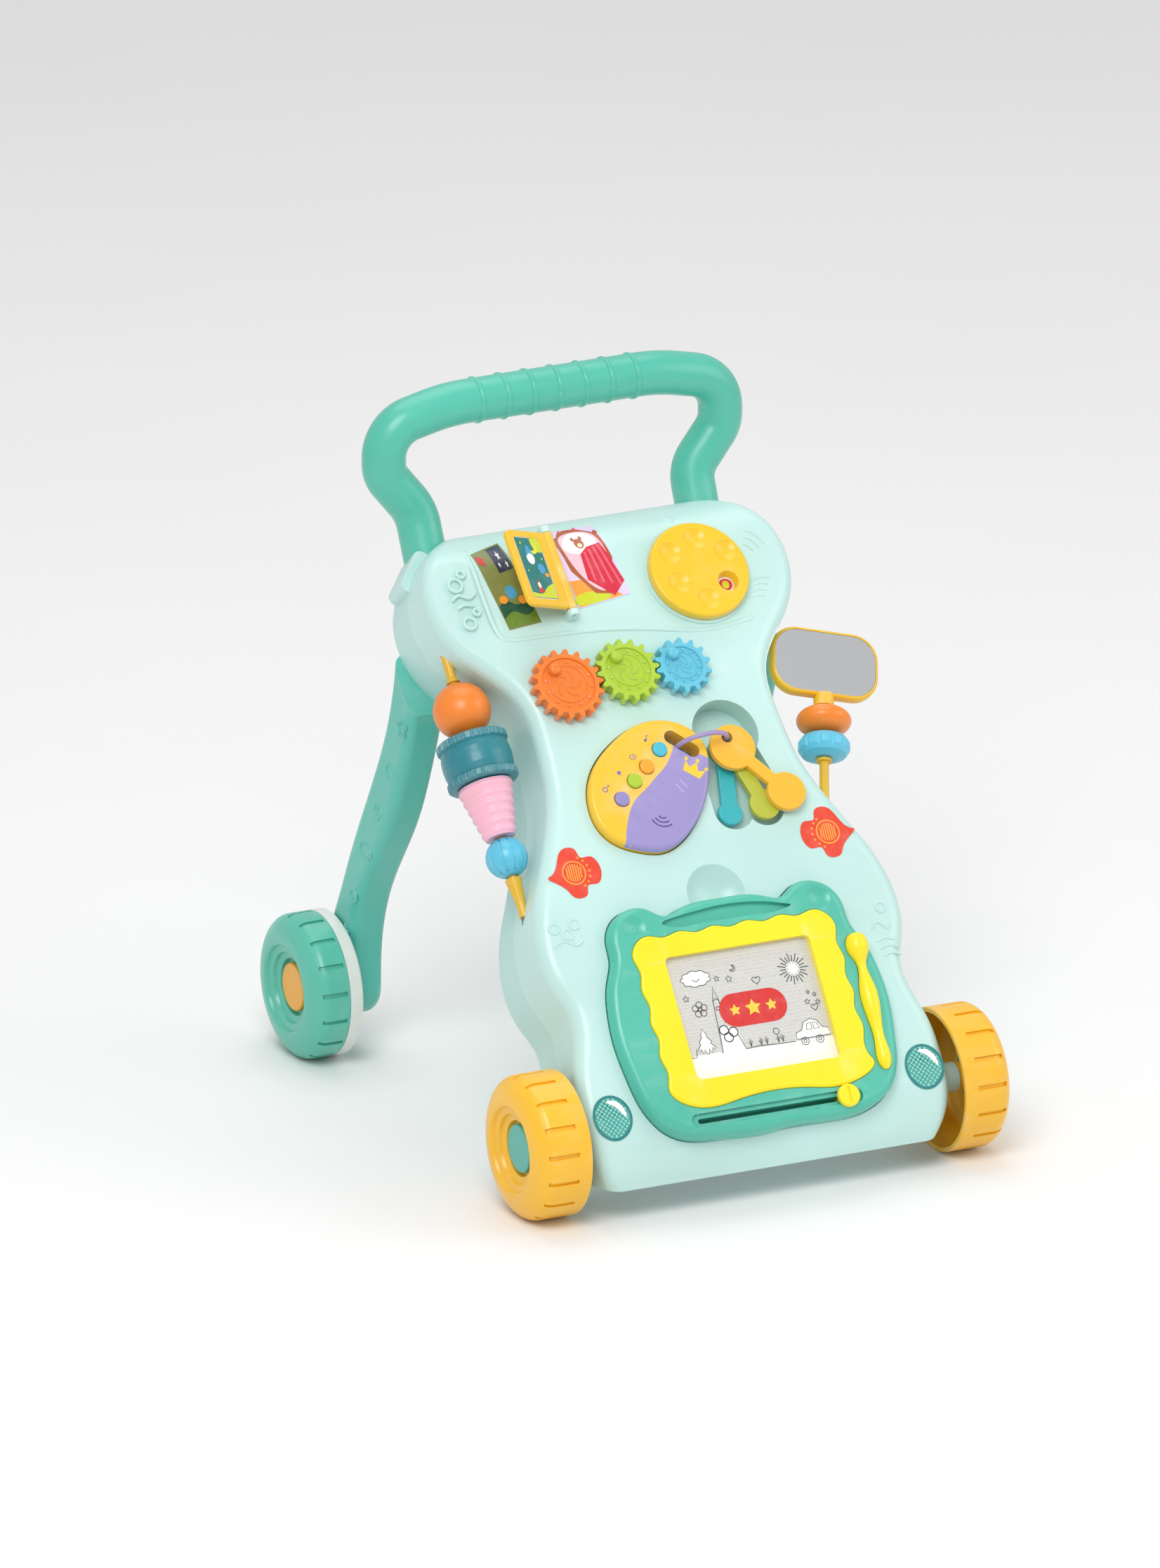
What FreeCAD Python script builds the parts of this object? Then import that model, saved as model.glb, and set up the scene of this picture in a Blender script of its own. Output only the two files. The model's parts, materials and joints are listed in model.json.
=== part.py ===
import FreeCAD, Part
import math
import os
from FreeCAD import Placement, Rotation, Vector

# Baby walker: a sloping activity panel on four wheels with a push bow.
# Millimetres. World: +X to the panel's right, +Y to the rear, +Z up, floor at z = 0.
# Panel frame: x = u across, y = s up the slope, z = n out of the face.

os.makedirs("parts", exist_ok=True)

# ---- driving dimensions ----
WHEEL_OUTER_X = 165.0
ORIGIN_SHIFT_Y = 3.0
FRONT_AXLE = (-164.0, 46.0)
FRONT_WHEEL_R = 46.0
FRONT_WHEEL_W = 35.7
REAR_AXLE = (163.5, 46.5)
REAR_WHEEL_R = 46.5
REAR_WHEEL_W = 34.0
REAR_BAND_W = 9.0
TREAD_SLOTS = 16

PANEL_ORIGIN = Vector(0, -193.6, 67.5)
PANEL_TILT = 50.0
FACE_R = 1970.0
FACE_APEX = (177.5, 8.0)
TOP_R = 43.4
TOP_START_S = 366.0
CHIN_R = 59.4
CASE_DEPTH = 65.0
FLOOR_GAP = 22.0
WALL = 2.5
EDGE_R = 10.0
FRONT_AXLE_R = 3.0
REAR_AXLE_R = 4.0
FIT = 0.06
GAP = 0.35

HANDLE_R = 14.0
HANDLE_TOP_Z = 436.0
HANDLE_HALF = 117.0
GRIP_HALF = 73.0
HANDLE_Y = 116.0
GRIP_RIBS = 7
GRIP_PITCH = 18.0

GEAR_MODULE = 2.5
GEAR_TEETH = {"orange": 18, "green": 16, "blue": 14}
GREEN_GEAR_AT = (-13.6, 284.0)
GEAR_DIRECTIONS = {"orange": 184.0, "blue": -4.0}
GEAR_T = 8.0

DIAL_AT = (57.0, 344.0)
DIAL_R = 33.0
REMOTE_AT = (0.0, 205.0)
BOARD_AT = (0.0, 52.0)
DISH_AT = (105.0, 350.0)
DISH_ALONG_R, DISH_ACROSS_R, DISH_DEPTH = 562.0, 97.5, 3.0
BOOK_AT = (-36.5, 357.0)
HEADLIGHT_AT = (108.0, 0.5)
SPEAKER_AT = (88.0, 160.0)
ROD_AT = (-116.0, -20.0)
BEAD_BORE_R = 3.35
MIRROR_AT = (132.0, 275.6, -20.0)
MIRROR_LEAN = 17.0

# Half width of the casing (mm) at each distance up the slope.
OUTLINE = [(-52, 96), (-41, 110), (-29, 119), (-14, 124), (10, 125), (31, 123), (53, 116.5),
           (72, 115), (90, 121.5), (110, 124.5), (130, 122), (150, 115.5), (170, 105.5),
           (190, 96), (210, 88.5), (232, 85), (255, 83.5), (272, 84.5), (287, 91), (302, 103),
           (317, 115), (333, 122.5), (350, 125), (365, 123), (378, 117.5), (390, 108.5),
           (399, 95), (406, 76), (411, 42)]
OUTLINE_ENDS = (-62, 413)

# ---- small helpers ----
X, Y, Z = Vector(1, 0, 0), Vector(0, 1, 0), Vector(0, 0, 1)
PANEL = Placement(PANEL_ORIGIN, Rotation(X, PANEL_TILT))
nodes = {}


def moved(shape, placement):
    copy = shape.copy()
    copy.Placement = placement.multiply(copy.Placement)
    return copy


def shifted(shape, x=0.0, y=0.0, z=0.0):
    return moved(shape, Placement(Vector(x, y, z), Rotation()))


def mirrored(shape):
    return shape.mirror(Vector(0, 0, 0), X)


def fused(shapes):
    return shapes[0].multiFuse(shapes[1:]).removeSplitter()


def box(x0, x1, y0, y1, z0, z1):
    return Part.makeBox(x1 - x0, y1 - y0, z1 - z0, Vector(x0, y0, z0))


def disc(r, z0, z1, x=0.0, y=0.0):
    return Part.makeCylinder(r, z1 - z0, Vector(x, y, z0))


def bar(start, end, r, r_end=None):
    axis = end - start
    if r_end is None:
        return Part.makeCylinder(r, axis.Length, start, axis)
    return Part.makeCone(r, r_end, axis.Length, start, axis)


def prism(wire, z0, z1):
    face = Part.Face(wire)
    face.translate(Vector(0, 0, z0))
    return face.extrude(Vector(0, 0, z1 - z0))


def smooth_loop(points, grow=0.0):
    """Closed curve through the points, which run anticlockwise, moved outwards by grow."""
    curve = Part.BSplineCurve()
    curve.interpolate(Points=[Vector(x, y, 0) for x, y in points], PeriodicFlag=True)
    if grow:
        outer = []
        for x, y in points:
            tangent = curve.tangent(curve.parameter(Vector(x, y, 0)))[0]
            outer.append(Vector(x + grow * tangent.y, y - grow * tangent.x, 0))
        curve = Part.BSplineCurve()
        curve.interpolate(Points=outer, PeriodicFlag=True)
    return Part.Wire(curve.toShape())


def polygon(points):
    corners = [Vector(x, y, 0) for x, y in points]
    return Part.makePolygon(corners + corners[:1])


def rounded_box(width, height, r, z0, z1, x=0.0, y=0.0):
    body = box(x - width / 2, x + width / 2, y - height / 2, y + height / 2, z0, z1)
    uprights = [e for e in body.Edges if abs(e.tangentAt(e.FirstParameter).z) > 0.9]
    return body.makeFillet(r, uprights)


def edges_at(shape, z):
    return [e for e in shape.Edges
            if abs(e.BoundBox.ZMin - z) < 0.01 and abs(e.BoundBox.ZMax - z) < 0.01]


def softened(shape, r, z):
    return shape.makeFillet(r, edges_at(shape, z))


def revolved(points, axis=X):
    face = Part.Face(Part.makePolygon(points + points[:1]))
    return face.revolve(Vector(0, 0, 0), axis, 360)


# ---- the curved face ----
MAIN_CENTRE = (FACE_APEX[0], FACE_APEX[1] - FACE_R)
CHIN_ANGLE = -math.asin(FACE_APEX[0] / FACE_R)
TOP_ANGLE = math.asin((TOP_START_S - FACE_APEX[0]) / FACE_R)


def on_circle(centre, r, angle):
    return Vector(0, centre[0] + r * math.sin(angle), centre[1] + r * math.cos(angle))


def inner_centre(r, angle):
    point = on_circle(MAIN_CENTRE, FACE_R - r, angle)
    return (point.y, point.z)


def face_n(s):
    return MAIN_CENTRE[1] + math.sqrt(FACE_R ** 2 - (s - MAIN_CENTRE[0]) ** 2)


def face_frame(u, s, lift=0.0):
    """Placement in the panel frame with z along the face's normal at (u, s)."""
    turn = -math.asin((s - MAIN_CENTRE[0]) / FACE_R)
    rotation = Rotation(X, math.degrees(turn))
    return Placement(Vector(u, s, face_n(s)), rotation).multiply(
        Placement(Vector(0, 0, lift), Rotation()))


def arc(centre, r, start, end):
    middle = on_circle(centre, r, (start + end) / 2)
    return Part.Arc(on_circle(centre, r, start), middle, on_circle(centre, r, end)).toShape()


def profile_prism(inset, half=150.0):
    """Side profile of the casing, inset all round, as a solid across the full width."""
    chin = inner_centre(CHIN_R, CHIN_ANGLE)
    top = inner_centre(TOP_R, TOP_ANGLE)
    chin_end = math.radians(-75)
    back = -CASE_DEPTH + inset
    edges = [arc(chin, CHIN_R - inset, chin_end, CHIN_ANGLE),
             arc(MAIN_CENTRE, FACE_R - inset, CHIN_ANGLE, TOP_ANGLE),
             arc(top, TOP_R - inset, TOP_ANGLE, math.radians(90))]
    first = on_circle(chin, CHIN_R - inset, chin_end)
    last = on_circle(top, TOP_R - inset, math.radians(90))
    corners = [last, Vector(0, last.y, back), Vector(0, first.y, back), first]
    edges += [Part.makeLine(a, b) for a, b in zip(corners, corners[1:])]
    face = Part.Face(Part.Wire(edges))
    face.translate(Vector(-half, 0, 0))
    return face.extrude(Vector(2 * half, 0, 0))


def outline_side():
    points = [(0, OUTLINE_ENDS[0])] + [(w, s) for s, w in OUTLINE] + [(0, OUTLINE_ENDS[1])]
    curve = Part.BSplineCurve()
    curve.interpolate(Points=[Vector(x, y, 0) for x, y in points],
                      InitialTangent=Vector(1, 0, 0), FinalTangent=Vector(-1, 0, 0))
    return curve, points


def outline_wire(inset):
    curve, points = outline_side()
    inner = []
    for x, y in points:
        tangent = curve.tangent(curve.parameter(Vector(x, y, 0)))[0]
        inner.append(Vector(x - inset * tangent.y, y + inset * tangent.x, 0))
    right = Part.BSplineCurve()
    right.interpolate(Points=inner, InitialTangent=Vector(1, 0, 0),
                      FinalTangent=Vector(-1, 0, 0))
    edge = right.toShape()
    return Part.Wire([edge, edge.mirror(Vector(0, 0, 0), X)])


def casing_block(inset):
    """The casing's outer form, or with an inset the room inside it."""
    walls = prism(outline_wire(inset), -100, 60)
    floor = moved(box(-200, 200, -400, 400, FLOOR_GAP + inset, 500), PANEL.inverse())
    block = walls.common(profile_prism(inset)).common(floor)
    rims = []
    for face in block.Faces:
        if face.Surface.TypeId != "Part::GeomSurfaceOfExtrusion":
            continue
        for edge in face.Edges:
            centre = edge.BoundBox.Center
            in_back = edge.BoundBox.ZMax < -CASE_DEPTH + inset + 0.1
            in_floor = abs(PANEL.multVec(centre).z - FLOOR_GAP - inset) < 0.5
            if not in_back and not in_floor and edge.Length > 30:
                rims.append(edge)
    return block.makeFillet(EDGE_R - inset, rims)


# ---- toy places on the face ----
FACE = {"remote": face_frame(*REMOTE_AT), "board": face_frame(*BOARD_AT),
        "dial": face_frame(*DIAL_AT), "gears": face_frame(*GREEN_GEAR_AT),
        "book": face_frame(*BOOK_AT)}


def local(points, s0=REMOTE_AT[1]):
    return [(u, s - s0) for u, s in points]


REMOTE_OUTLINE = local([(-9, 249.5), (-23, 247), (-38, 239.5), (-53, 227.5), (-63, 211.5),
                        (-65.5, 198), (-64, 186.5), (-56, 174.5), (-51, 171), (-38, 165.5),
                        (-26, 163.5), (-13, 167.5), (0, 177.5), (12, 192.5), (19, 207.5),
                        (22.5, 220), (22, 230), (17, 239), (5, 247)])
COVER_CURVE = local([(2, 232.5), (-3, 224.5), (-8, 218.5), (-16, 212.5), (-27, 204.5),
                     (-36, 198.5), (-43, 189.5), (-48, 179.5), (-52, 168)])
COVER_FAR_SIDE = local([(-52, 150), (45, 150), (45, 217), (23, 217), (12, 225)])
BUTTONS = {"blue": (-9.5, 229.0), "orange": (-21.5, 219.0), "green": (-32.5, 211.0),
           "purple": (-44.5, 200.5)}
LOOP_HOLE = (6.5, 25.5)
RING_CENTRE = Vector(20.5, 24.7, 3.0)
RING_R, RING_WIRE_R = 17.0, 1.6
REMOTE_TOP, REMOTE_BASE = 6.5, -7.0
KEY_FLOOR = -8.0
KEY_HOLE_R = 3.6

BOARD_HALF = [(40, -75.5), (62, -73), (78, -64.5), (87, -51), (92, -30), (94.5, -6), (93, 14),
              (88, 33), (82, 47), (81, 59), (75, 71), (62, 77.5), (50, 75.5), (41, 70),
              (28, 73)]
BOARD_TOP = 9.0
BOARD_BASE = -6.0


def board_wire(grow=0.0):
    loop = [(0, -76)] + BOARD_HALF + [(0, 75.5)] + [(-x, y) for x, y in reversed(BOARD_HALF)]
    return smooth_loop(loop, grow)


# ---- gears ----
def gear_places():
    places = {"green": (0.0, 0.0)}
    for name, angle in GEAR_DIRECTIONS.items():
        reach = GEAR_MODULE * (GEAR_TEETH["green"] + GEAR_TEETH[name]) / 2
        turn = math.radians(angle)
        places[name] = (reach * math.cos(turn), reach * math.sin(turn))
    return places


def gear_phases():
    """Tooth angles that put each neighbour's tooth into the green gear's gap."""
    phases = {"green": 0.0}
    green = GEAR_TEETH["green"]
    for name, angle in GEAR_DIRECTIONS.items():
        teeth = GEAR_TEETH[name]
        phases[name] = angle + 180 + 180 / teeth - (0.0 - angle) * green / teeth
    return phases


GEAR_XY = gear_places()
GEAR_HUB_R = 5.0
GEAR_HUB_END = -9.0
TOOTH_EDGE_R = 0.7


def gear_blank(teeth, phase):
    pitch_r = GEAR_MODULE * teeth / 2
    rings = [(pitch_r - 2.1, 0.30), (pitch_r, 0.205), (pitch_r + 0.9, 0.145),
             (pitch_r + 1.4, 0.09)]
    points = []
    for tooth in range(teeth):
        centre = phase + 360 * tooth / teeth
        for r, half in rings + [(r, -half) for r, half in reversed(rings)]:
            angle = math.radians(centre - half * 360 / teeth)
            points.append((r * math.cos(angle), r * math.sin(angle)))
    return prism(polygon(points), 0, GEAR_T)


def build_gears():
    phases = gear_phases()
    for name, teeth in GEAR_TEETH.items():
        pitch_r = GEAR_MODULE * teeth / 2
        dish = disc(pitch_r - 5, GEAR_T - 1.0, GEAR_T + 1)
        knob_x, knob_y = -0.32 * pitch_r, 0.45 * pitch_r
        knob = softened(disc(3.8, GEAR_T - 2, GEAR_T + 4.5, knob_x, knob_y), 2.2, GEAR_T + 4.5)
        gear = softened(gear_blank(teeth, phases[name]), TOOTH_EDGE_R, GEAR_T).cut(dish)
        hub = disc(GEAR_HUB_R, GEAR_HUB_END, 1)
        socket = disc(1.6, GEAR_HUB_END - 1, GEAR_HUB_END + 7)
        gear = fused([gear, knob, hub]).cut(socket)
        clip = disc(8.0, GEAR_HUB_END - 1.5, GEAR_HUB_END).fuse(
            disc(1.6, GEAR_HUB_END - 0.5, GEAR_HUB_END + 6))
        place = Placement(Vector(*GEAR_XY[name], 1.0), Rotation())
        nodes["gear_" + name] = moved(moved(gear, place), PANEL.multiply(FACE["gears"]))
        nodes["gear_clip_" + name] = moved(moved(clip.removeSplitter(), place),
                                           PANEL.multiply(FACE["gears"]))


# ---- picture dial ----
DIMPLES = [(-16, 14), (3, 21), (20.5, 10), (-1, -21), (-17, -7)]
DIMPLE_R, DIMPLE_DEPTH = 13.0, 2.3
DIAL_TOP = 7.5
WINDOW = (16, -11)


def build_dial():
    plate = softened(disc(DIAL_R, 2.0, DIAL_TOP), 2.0, DIAL_TOP)
    lift = DIAL_TOP + DIMPLE_R - DIMPLE_DEPTH
    dents = [Part.makeSphere(DIMPLE_R, Vector(x, y, lift)) for x, y in DIMPLES]
    dents.append(bar(Vector(*WINDOW, 1), Vector(*WINDOW, 9), 5.0, 7.5))
    hub = disc(6.0, -7.0, 3.0)
    socket = disc(1.6, -8, 0)
    dial = fused([plate.cut(Part.makeCompound(dents)), hub]).cut(socket)
    clip = disc(9.5, -8.5, -7.0).fuse(disc(1.6, -7.5, -1.5)).removeSplitter()
    picture = disc(DIAL_R - 2.5, 1.2, 1.6).cut(disc(8, 0, 3))
    place = PANEL.multiply(FACE["dial"])
    nodes["picture_dial"] = moved(dial, place)
    nodes["dial_clip"] = moved(clip, place)
    nodes["dial_picture"] = moved(picture, place)


# ---- toy remote with key ring ----
def remote_loop_hole(grow=0.0):
    slot = rounded_box(25 + grow, 9 + grow, 4.4, -20, 20)
    return moved(slot, Placement(Vector(*LOOP_HOLE, 0), Rotation(Z, -43)))


def cover_region():
    curve = Part.BSplineCurve()
    curve.interpolate([Vector(x, y, 0) for x, y in COVER_CURVE])
    corners = [Vector(x, y, 0) for x, y in [COVER_CURVE[-1]] + COVER_FAR_SIDE + [COVER_CURVE[0]]]
    lines = [Part.makeLine(a, b) for a, b in zip(corners, corners[1:])]
    return prism(Part.Wire([curve.toShape()] + lines), 1.5, 20)


def build_remote():
    outline = smooth_loop(REMOTE_OUTLINE)
    body = prism(outline, REMOTE_BASE, REMOTE_TOP)
    body = softened(softened(body, 3.0, REMOTE_TOP), 1.5, REMOTE_BASE)
    body = body.cut(remote_loop_hole())
    region = cover_region()
    room = prism(smooth_loop(REMOTE_OUTLINE, -4.0), REMOTE_BASE + 2.5, 1.5)
    room = room.cut(remote_loop_hole(3.0))
    cover = body.common(region)
    body = body.cut(region).cut(room)
    buttons = {}
    for name, (u, s) in BUTTONS.items():
        x, y = u, s - REMOTE_AT[1]
        body = body.cut(disc(4.8 + GAP, 0, 10, x, y))
        cap = softened(disc(4.8, 0.6, REMOTE_TOP + 2.0, x, y), 1.2, REMOTE_TOP + 2.0)
        buttons[name] = cap.fuse(disc(5.6, -0.7, 0.8, x, y)).removeSplitter()
    board = prism(smooth_loop(REMOTE_OUTLINE, -6.0), REMOTE_BASE + 2.5, REMOTE_BASE + 4.1)
    board = board.cut(remote_loop_hole(9.0))
    place = PANEL.multiply(FACE["remote"])
    nodes["fob_body"] = moved(body, place)
    nodes["fob_cover"] = moved(cover, place)
    nodes["fob_circuit_board"] = moved(board, place)
    for name, button in buttons.items():
        nodes["fob_button_" + name] = moved(button, place)


def key(bow_at, bow_r, end_at, end_r, half, z0, z1):
    """Flat moulded key: round bow, straight shaft and round end, hole on the ring."""
    bow = disc(bow_r, z0, z1, *bow_at)
    end = disc(end_r, z0, z1, *end_at)
    run = Vector(end_at[0] - bow_at[0], end_at[1] - bow_at[1], 0)
    side = Vector(-run.y, run.x, 0).normalize() * half
    a, b = Vector(*bow_at, 0), Vector(*end_at, 0)
    shaft = prism(Part.makePolygon([a + side, b + side, b - side, a - side, a + side]), z0, z1)
    blank = softened(fused([bow, end, shaft]), 0.9, z1)
    height = (z0 + z1) / 2 - RING_CENTRE.z
    ring_x = RING_CENTRE.x + math.sqrt(RING_R ** 2 - height ** 2)
    return blank.cut(disc(KEY_HOLE_R, z0 - 1, z1 + 1, ring_x, RING_CENTRE.y))


def build_keys():
    place = PANEL.multiply(FACE["remote"])
    ring = Part.makeTorus(RING_R, RING_WIRE_R, RING_CENTRE, Y)
    nodes["key_ring"] = moved(ring, place)
    nodes["key_orange"] = moved(key((39.5, 18), 15, (66, -16.4), 12.7, 4.2, 3.6, 7.6), place)
    nodes["key_lime"] = moved(key((39, 21), 10, (51, -21), 10, 5.0, -0.6, 2.9), place)
    nodes["key_teal"] = moved(key((37, 20), 10, (28.5, -22), 8, 5.5, -5.2, -1.6), place)


def remote_seat(grow, floor_drop):
    """Pocket for the remote, the ring and the keys; with grow and drop, its outside."""
    outline = smooth_loop(REMOTE_OUTLINE, 0.8 + grow)
    floor = KEY_FLOOR - floor_drop
    tools = [prism(outline, floor, 30), disc(22 + grow, -17.6 - floor_drop, 30, 41, 31),
             disc(13 + grow, floor, 30, 30, -21), disc(13 + grow, floor, 30, 51.5, -21.5),
             prism(polygon([(17 - grow, -20), (17 - grow, 20), (58 + grow, 20),
                            (63 + grow, 2), (64.3 + grow, -20), (52, -22 - grow)]), floor, 30),
             box(0.5 - grow, 45, 19.5 - grow, 30 + grow, -17.6 - floor_drop, 0)]
    return moved(fused(tools), FACE["remote"])


# ---- picture book ----
PRINT_LEFT = [(-86, 382), (-64, 388), (-56, 328), (-79, 326)]
PRINT_RIGHT = [(-31, 390), (3, 391), (9, 338), (-28, 333)]
PAGE_W, PAGE_L, PAGE_T = 38.0, 54.0, 4.0
PAGE_AXIS_LIFT = 7.0
PAGE_OPEN = 25.0


def build_book():
    skin = profile_prism(-0.4).cut(profile_prism(0.0))
    for name, corners in (("left", PRINT_LEFT), ("right", PRINT_RIGHT)):
        patch = skin.common(prism(polygon(corners), -40, 40))
        nodes["book_print_" + name] = moved(patch, PANEL)
    barrel = Part.makeCylinder(3.6, PAGE_L, Vector(0, -PAGE_L / 2, 0), Y)
    leaf = rounded_box(PAGE_W, PAGE_L, 5.0, -PAGE_T / 2, PAGE_T / 2, -PAGE_W / 2 - 1, 0)
    leaf = softened(softened(leaf, 1.4, PAGE_T / 2), 1.4, -PAGE_T / 2)
    tray = rounded_box(PAGE_W - 15, PAGE_L - 10, 2.5, PAGE_T / 2 - 0.8, 4, -PAGE_W / 2 - 3.5, 0)
    spine = Part.makeCylinder(1.2 + FIT, 70, Vector(0, -35, 0), Y)
    page = fused([leaf, barrel]).cut(tray).cut(spine)
    card = rounded_box(PAGE_W - 15.2, PAGE_L - 10.2, 2.4, PAGE_T / 2 - 0.8, PAGE_T / 2 - 0.2,
                       -PAGE_W / 2 - 3.5, 0)
    opened = Placement(Vector(0, 0, PAGE_AXIS_LIFT), Rotation(Y, PAGE_OPEN))
    place = PANEL.multiply(FACE["book"])
    nodes["book_page"] = moved(moved(page, opened), place)
    nodes["book_page_print"] = moved(moved(card, opened), place)
    pin = Part.makeCylinder(1.2, PAGE_L + 7, Vector(0, -PAGE_L / 2 - 3.5, PAGE_AXIS_LIFT), Y)
    nodes["book_hinge_pin"] = moved(pin, place)


def book_ears():
    ears = []
    for y0 in (-PAGE_L / 2 - 4.3, PAGE_L / 2 + 0.3):
        post = box(-3.6, 3.6, y0, y0 + 4.0, -9, PAGE_AXIS_LIFT)
        head = Part.makeCylinder(3.6, 4.0, Vector(0, y0, PAGE_AXIS_LIFT), Y)
        ears.append(post.fuse(head))
    return moved(fused(ears), FACE["book"])


# ---- drawing board ----
FRAME_HALF = (68.0, 54.0)
SCREEN_HALF = (50.0, 40.5)
SCREEN_AT = (0.0, 1.0)
SCALLOP = 2.2
GRIP_OUTLINE = [(44, 63), (24, 68), (0, 69.8), (-24, 68), (-44, 63), (-38, 60.6), (-20, 60),
                (0, 60), (20, 60), (38, 60.6)]
GRIP_DEPTH = 3.6
EAR_AT = (64.0, 64.0)
EAR_DIMPLE_R, EAR_DIMPLE_DEPTH = 17.0, 2.0
ERASER_TRACK_Y = -65.0
ERASER_X = 47.0
PEN_X = 79.5


def scalloped(half_x, half_y, count_x, count_y, x=0.0, y=0.0, grow=0.0):
    """Rounded rectangle with waves along the top and the two sides."""
    r = 10.0
    loop = []
    side = [half_y - r - (2 * half_y - 2 * r) * i / (2 * count_y) for i in range(2 * count_y + 1)]
    run = [half_x - r - (2 * half_x - 2 * r) * i / (2 * count_x) for i in range(2 * count_x + 1)]
    for i, v in enumerate(reversed(side)):
        loop.append((half_x + (SCALLOP if i % 2 == 0 else 0), v))
    for i, v in enumerate(run):
        loop.append((v, half_y + (SCALLOP if i % 2 == 0 else 0)))
    for i, v in enumerate(side):
        loop.append((-half_x - (SCALLOP if i % 2 == 0 else 0), v))
    for v in (-half_x + r, -half_x / 3, half_x / 3, half_x - r):
        loop.append((v, -half_y - SCALLOP))
    return smooth_loop([(px + x, py + y) for px, py in loop], grow)


def pen_shape(grow=0.0):
    radii = [(-52, 1.5), (-49, 3.6), (-41, 4.6), (-33, 3.6), (-12, 5.4), (2, 5.2), (19, 3.6),
             (25, 6.6), (31, 7.2), (36, 5.0), (37.5, 1.5)]
    curve = Part.BSplineCurve()
    curve.interpolate([Vector(r + grow, y, 0) for y, r in radii])
    ends = [(0, 37.5), (1.5 + grow, 37.5), (1.5 + grow, -52), (0, -52)]
    top = Part.makeLine(Vector(1.5 + grow, 37.5, 0), Vector(0, 37.5, 0))
    axis = Part.makeLine(Vector(0, 37.5, 0), Vector(0, -52, 0))
    low = Part.makeLine(Vector(0, -52, 0), Vector(1.5 + grow, -52, 0))
    face = Part.Face(Part.Wire([curve.toShape(), top, axis, low]))
    return face.revolve(Vector(0, 0, 0), Y, 360)


def tray_hollows():
    """Finger grip above the frame and a dimple in each ear."""
    grip = prism(smooth_loop(GRIP_OUTLINE), BOARD_TOP - GRIP_DEPTH, 30)
    ears = [Part.makeSphere(EAR_DIMPLE_R, Vector(side * EAR_AT[0], EAR_AT[1],
                                                 BOARD_TOP + EAR_DIMPLE_R - EAR_DIMPLE_DEPTH))
            for side in (-1, 1)]
    return [grip] + ears


def build_board():
    tray = prism(board_wire(), BOARD_BASE, BOARD_TOP)
    tray = softened(tray, 6.0, BOARD_TOP)
    frame_wire = scalloped(*FRAME_HALF, 5, 4, 0, 1)
    frame_seat = prism(scalloped(*FRAME_HALF, 5, 4, 0, 1, 0.3), BOARD_TOP - 5.0, 30)
    pen = moved(pen_shape(), Placement(Vector(PEN_X, 0, BOARD_TOP + 0.5), Rotation(Z, -2)))
    pen_bed = moved(pen_shape(GAP), Placement(Vector(PEN_X, 0, BOARD_TOP + 0.5),
                                              Rotation(Z, -2)))
    pen_bed = fused([pen_bed, shifted(pen_bed, z=3.0), shifted(pen_bed, z=6.0)])
    track = rounded_box(118, 9.0, 4.4, BOARD_TOP - 2.5, 30, -1.5, ERASER_TRACK_Y)
    slot = rounded_box(108, 3.4, 1.6, BOARD_BASE + 2.5, 30, -1.5, ERASER_TRACK_Y)
    room = prism(board_wire(-6.0), BOARD_BASE + 2.5, 0.0)
    for hollow in [frame_seat, pen_bed, track, slot, room] + tray_hollows():
        tray = tray.cut(hollow)
    frame = softened(prism(frame_wire, BOARD_TOP - 5.0, BOARD_TOP + 1.5), 1.8, BOARD_TOP + 1.5)
    opening = rounded_box(2 * SCREEN_HALF[0], 2 * SCREEN_HALF[1], 4, 0, 30, *SCREEN_AT)
    ledge = rounded_box(2 * SCREEN_HALF[0] + 6, 2 * SCREEN_HALF[1] + 6, 5,
                        BOARD_TOP - 6, BOARD_TOP - 3.1, *SCREEN_AT)
    frame = frame.cut(opening).cut(ledge)
    screen = rounded_box(2 * SCREEN_HALF[0] + 5.4, 2 * SCREEN_HALF[1] + 5.4, 4.7,
                         BOARD_TOP - 5.0, BOARD_TOP - 3.2, *SCREEN_AT)
    knob = softened(disc(7.3, BOARD_TOP + 0.3, BOARD_TOP + 4, ERASER_X, ERASER_TRACK_Y), 1.5,
                    BOARD_TOP + 4)
    knob = knob.cut(box(ERASER_X - 0.7, ERASER_X + 0.7, ERASER_TRACK_Y - 5, ERASER_TRACK_Y + 5,
                        BOARD_TOP + 3.0, BOARD_TOP + 6))
    stem = box(ERASER_X - 4, ERASER_X + 4, ERASER_TRACK_Y - 1.4, ERASER_TRACK_Y + 1.4,
               -3.1, BOARD_TOP)
    magnet = box(ERASER_X - 3, ERASER_X + 3, ERASER_TRACK_Y + 1, 41, -2.8, -0.4)
    foot = box(ERASER_X - 4, ERASER_X + 4, ERASER_TRACK_Y - 3, ERASER_TRACK_Y + 4, -2.8, -0.4)
    eraser = fused([knob, stem, foot, magnet])
    place = PANEL.multiply(FACE["board"])
    parts = {"board_tray": tray, "board_frame": frame, "board_screen": screen,
             "eraser_slider": eraser, "pen": pen}
    for name, shape in parts.items():
        nodes[name] = moved(shape, place)


# ---- bead rod and mirror ----
def rod_point(s):
    return Vector(ROD_AT[0], s, ROD_AT[1])


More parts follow.
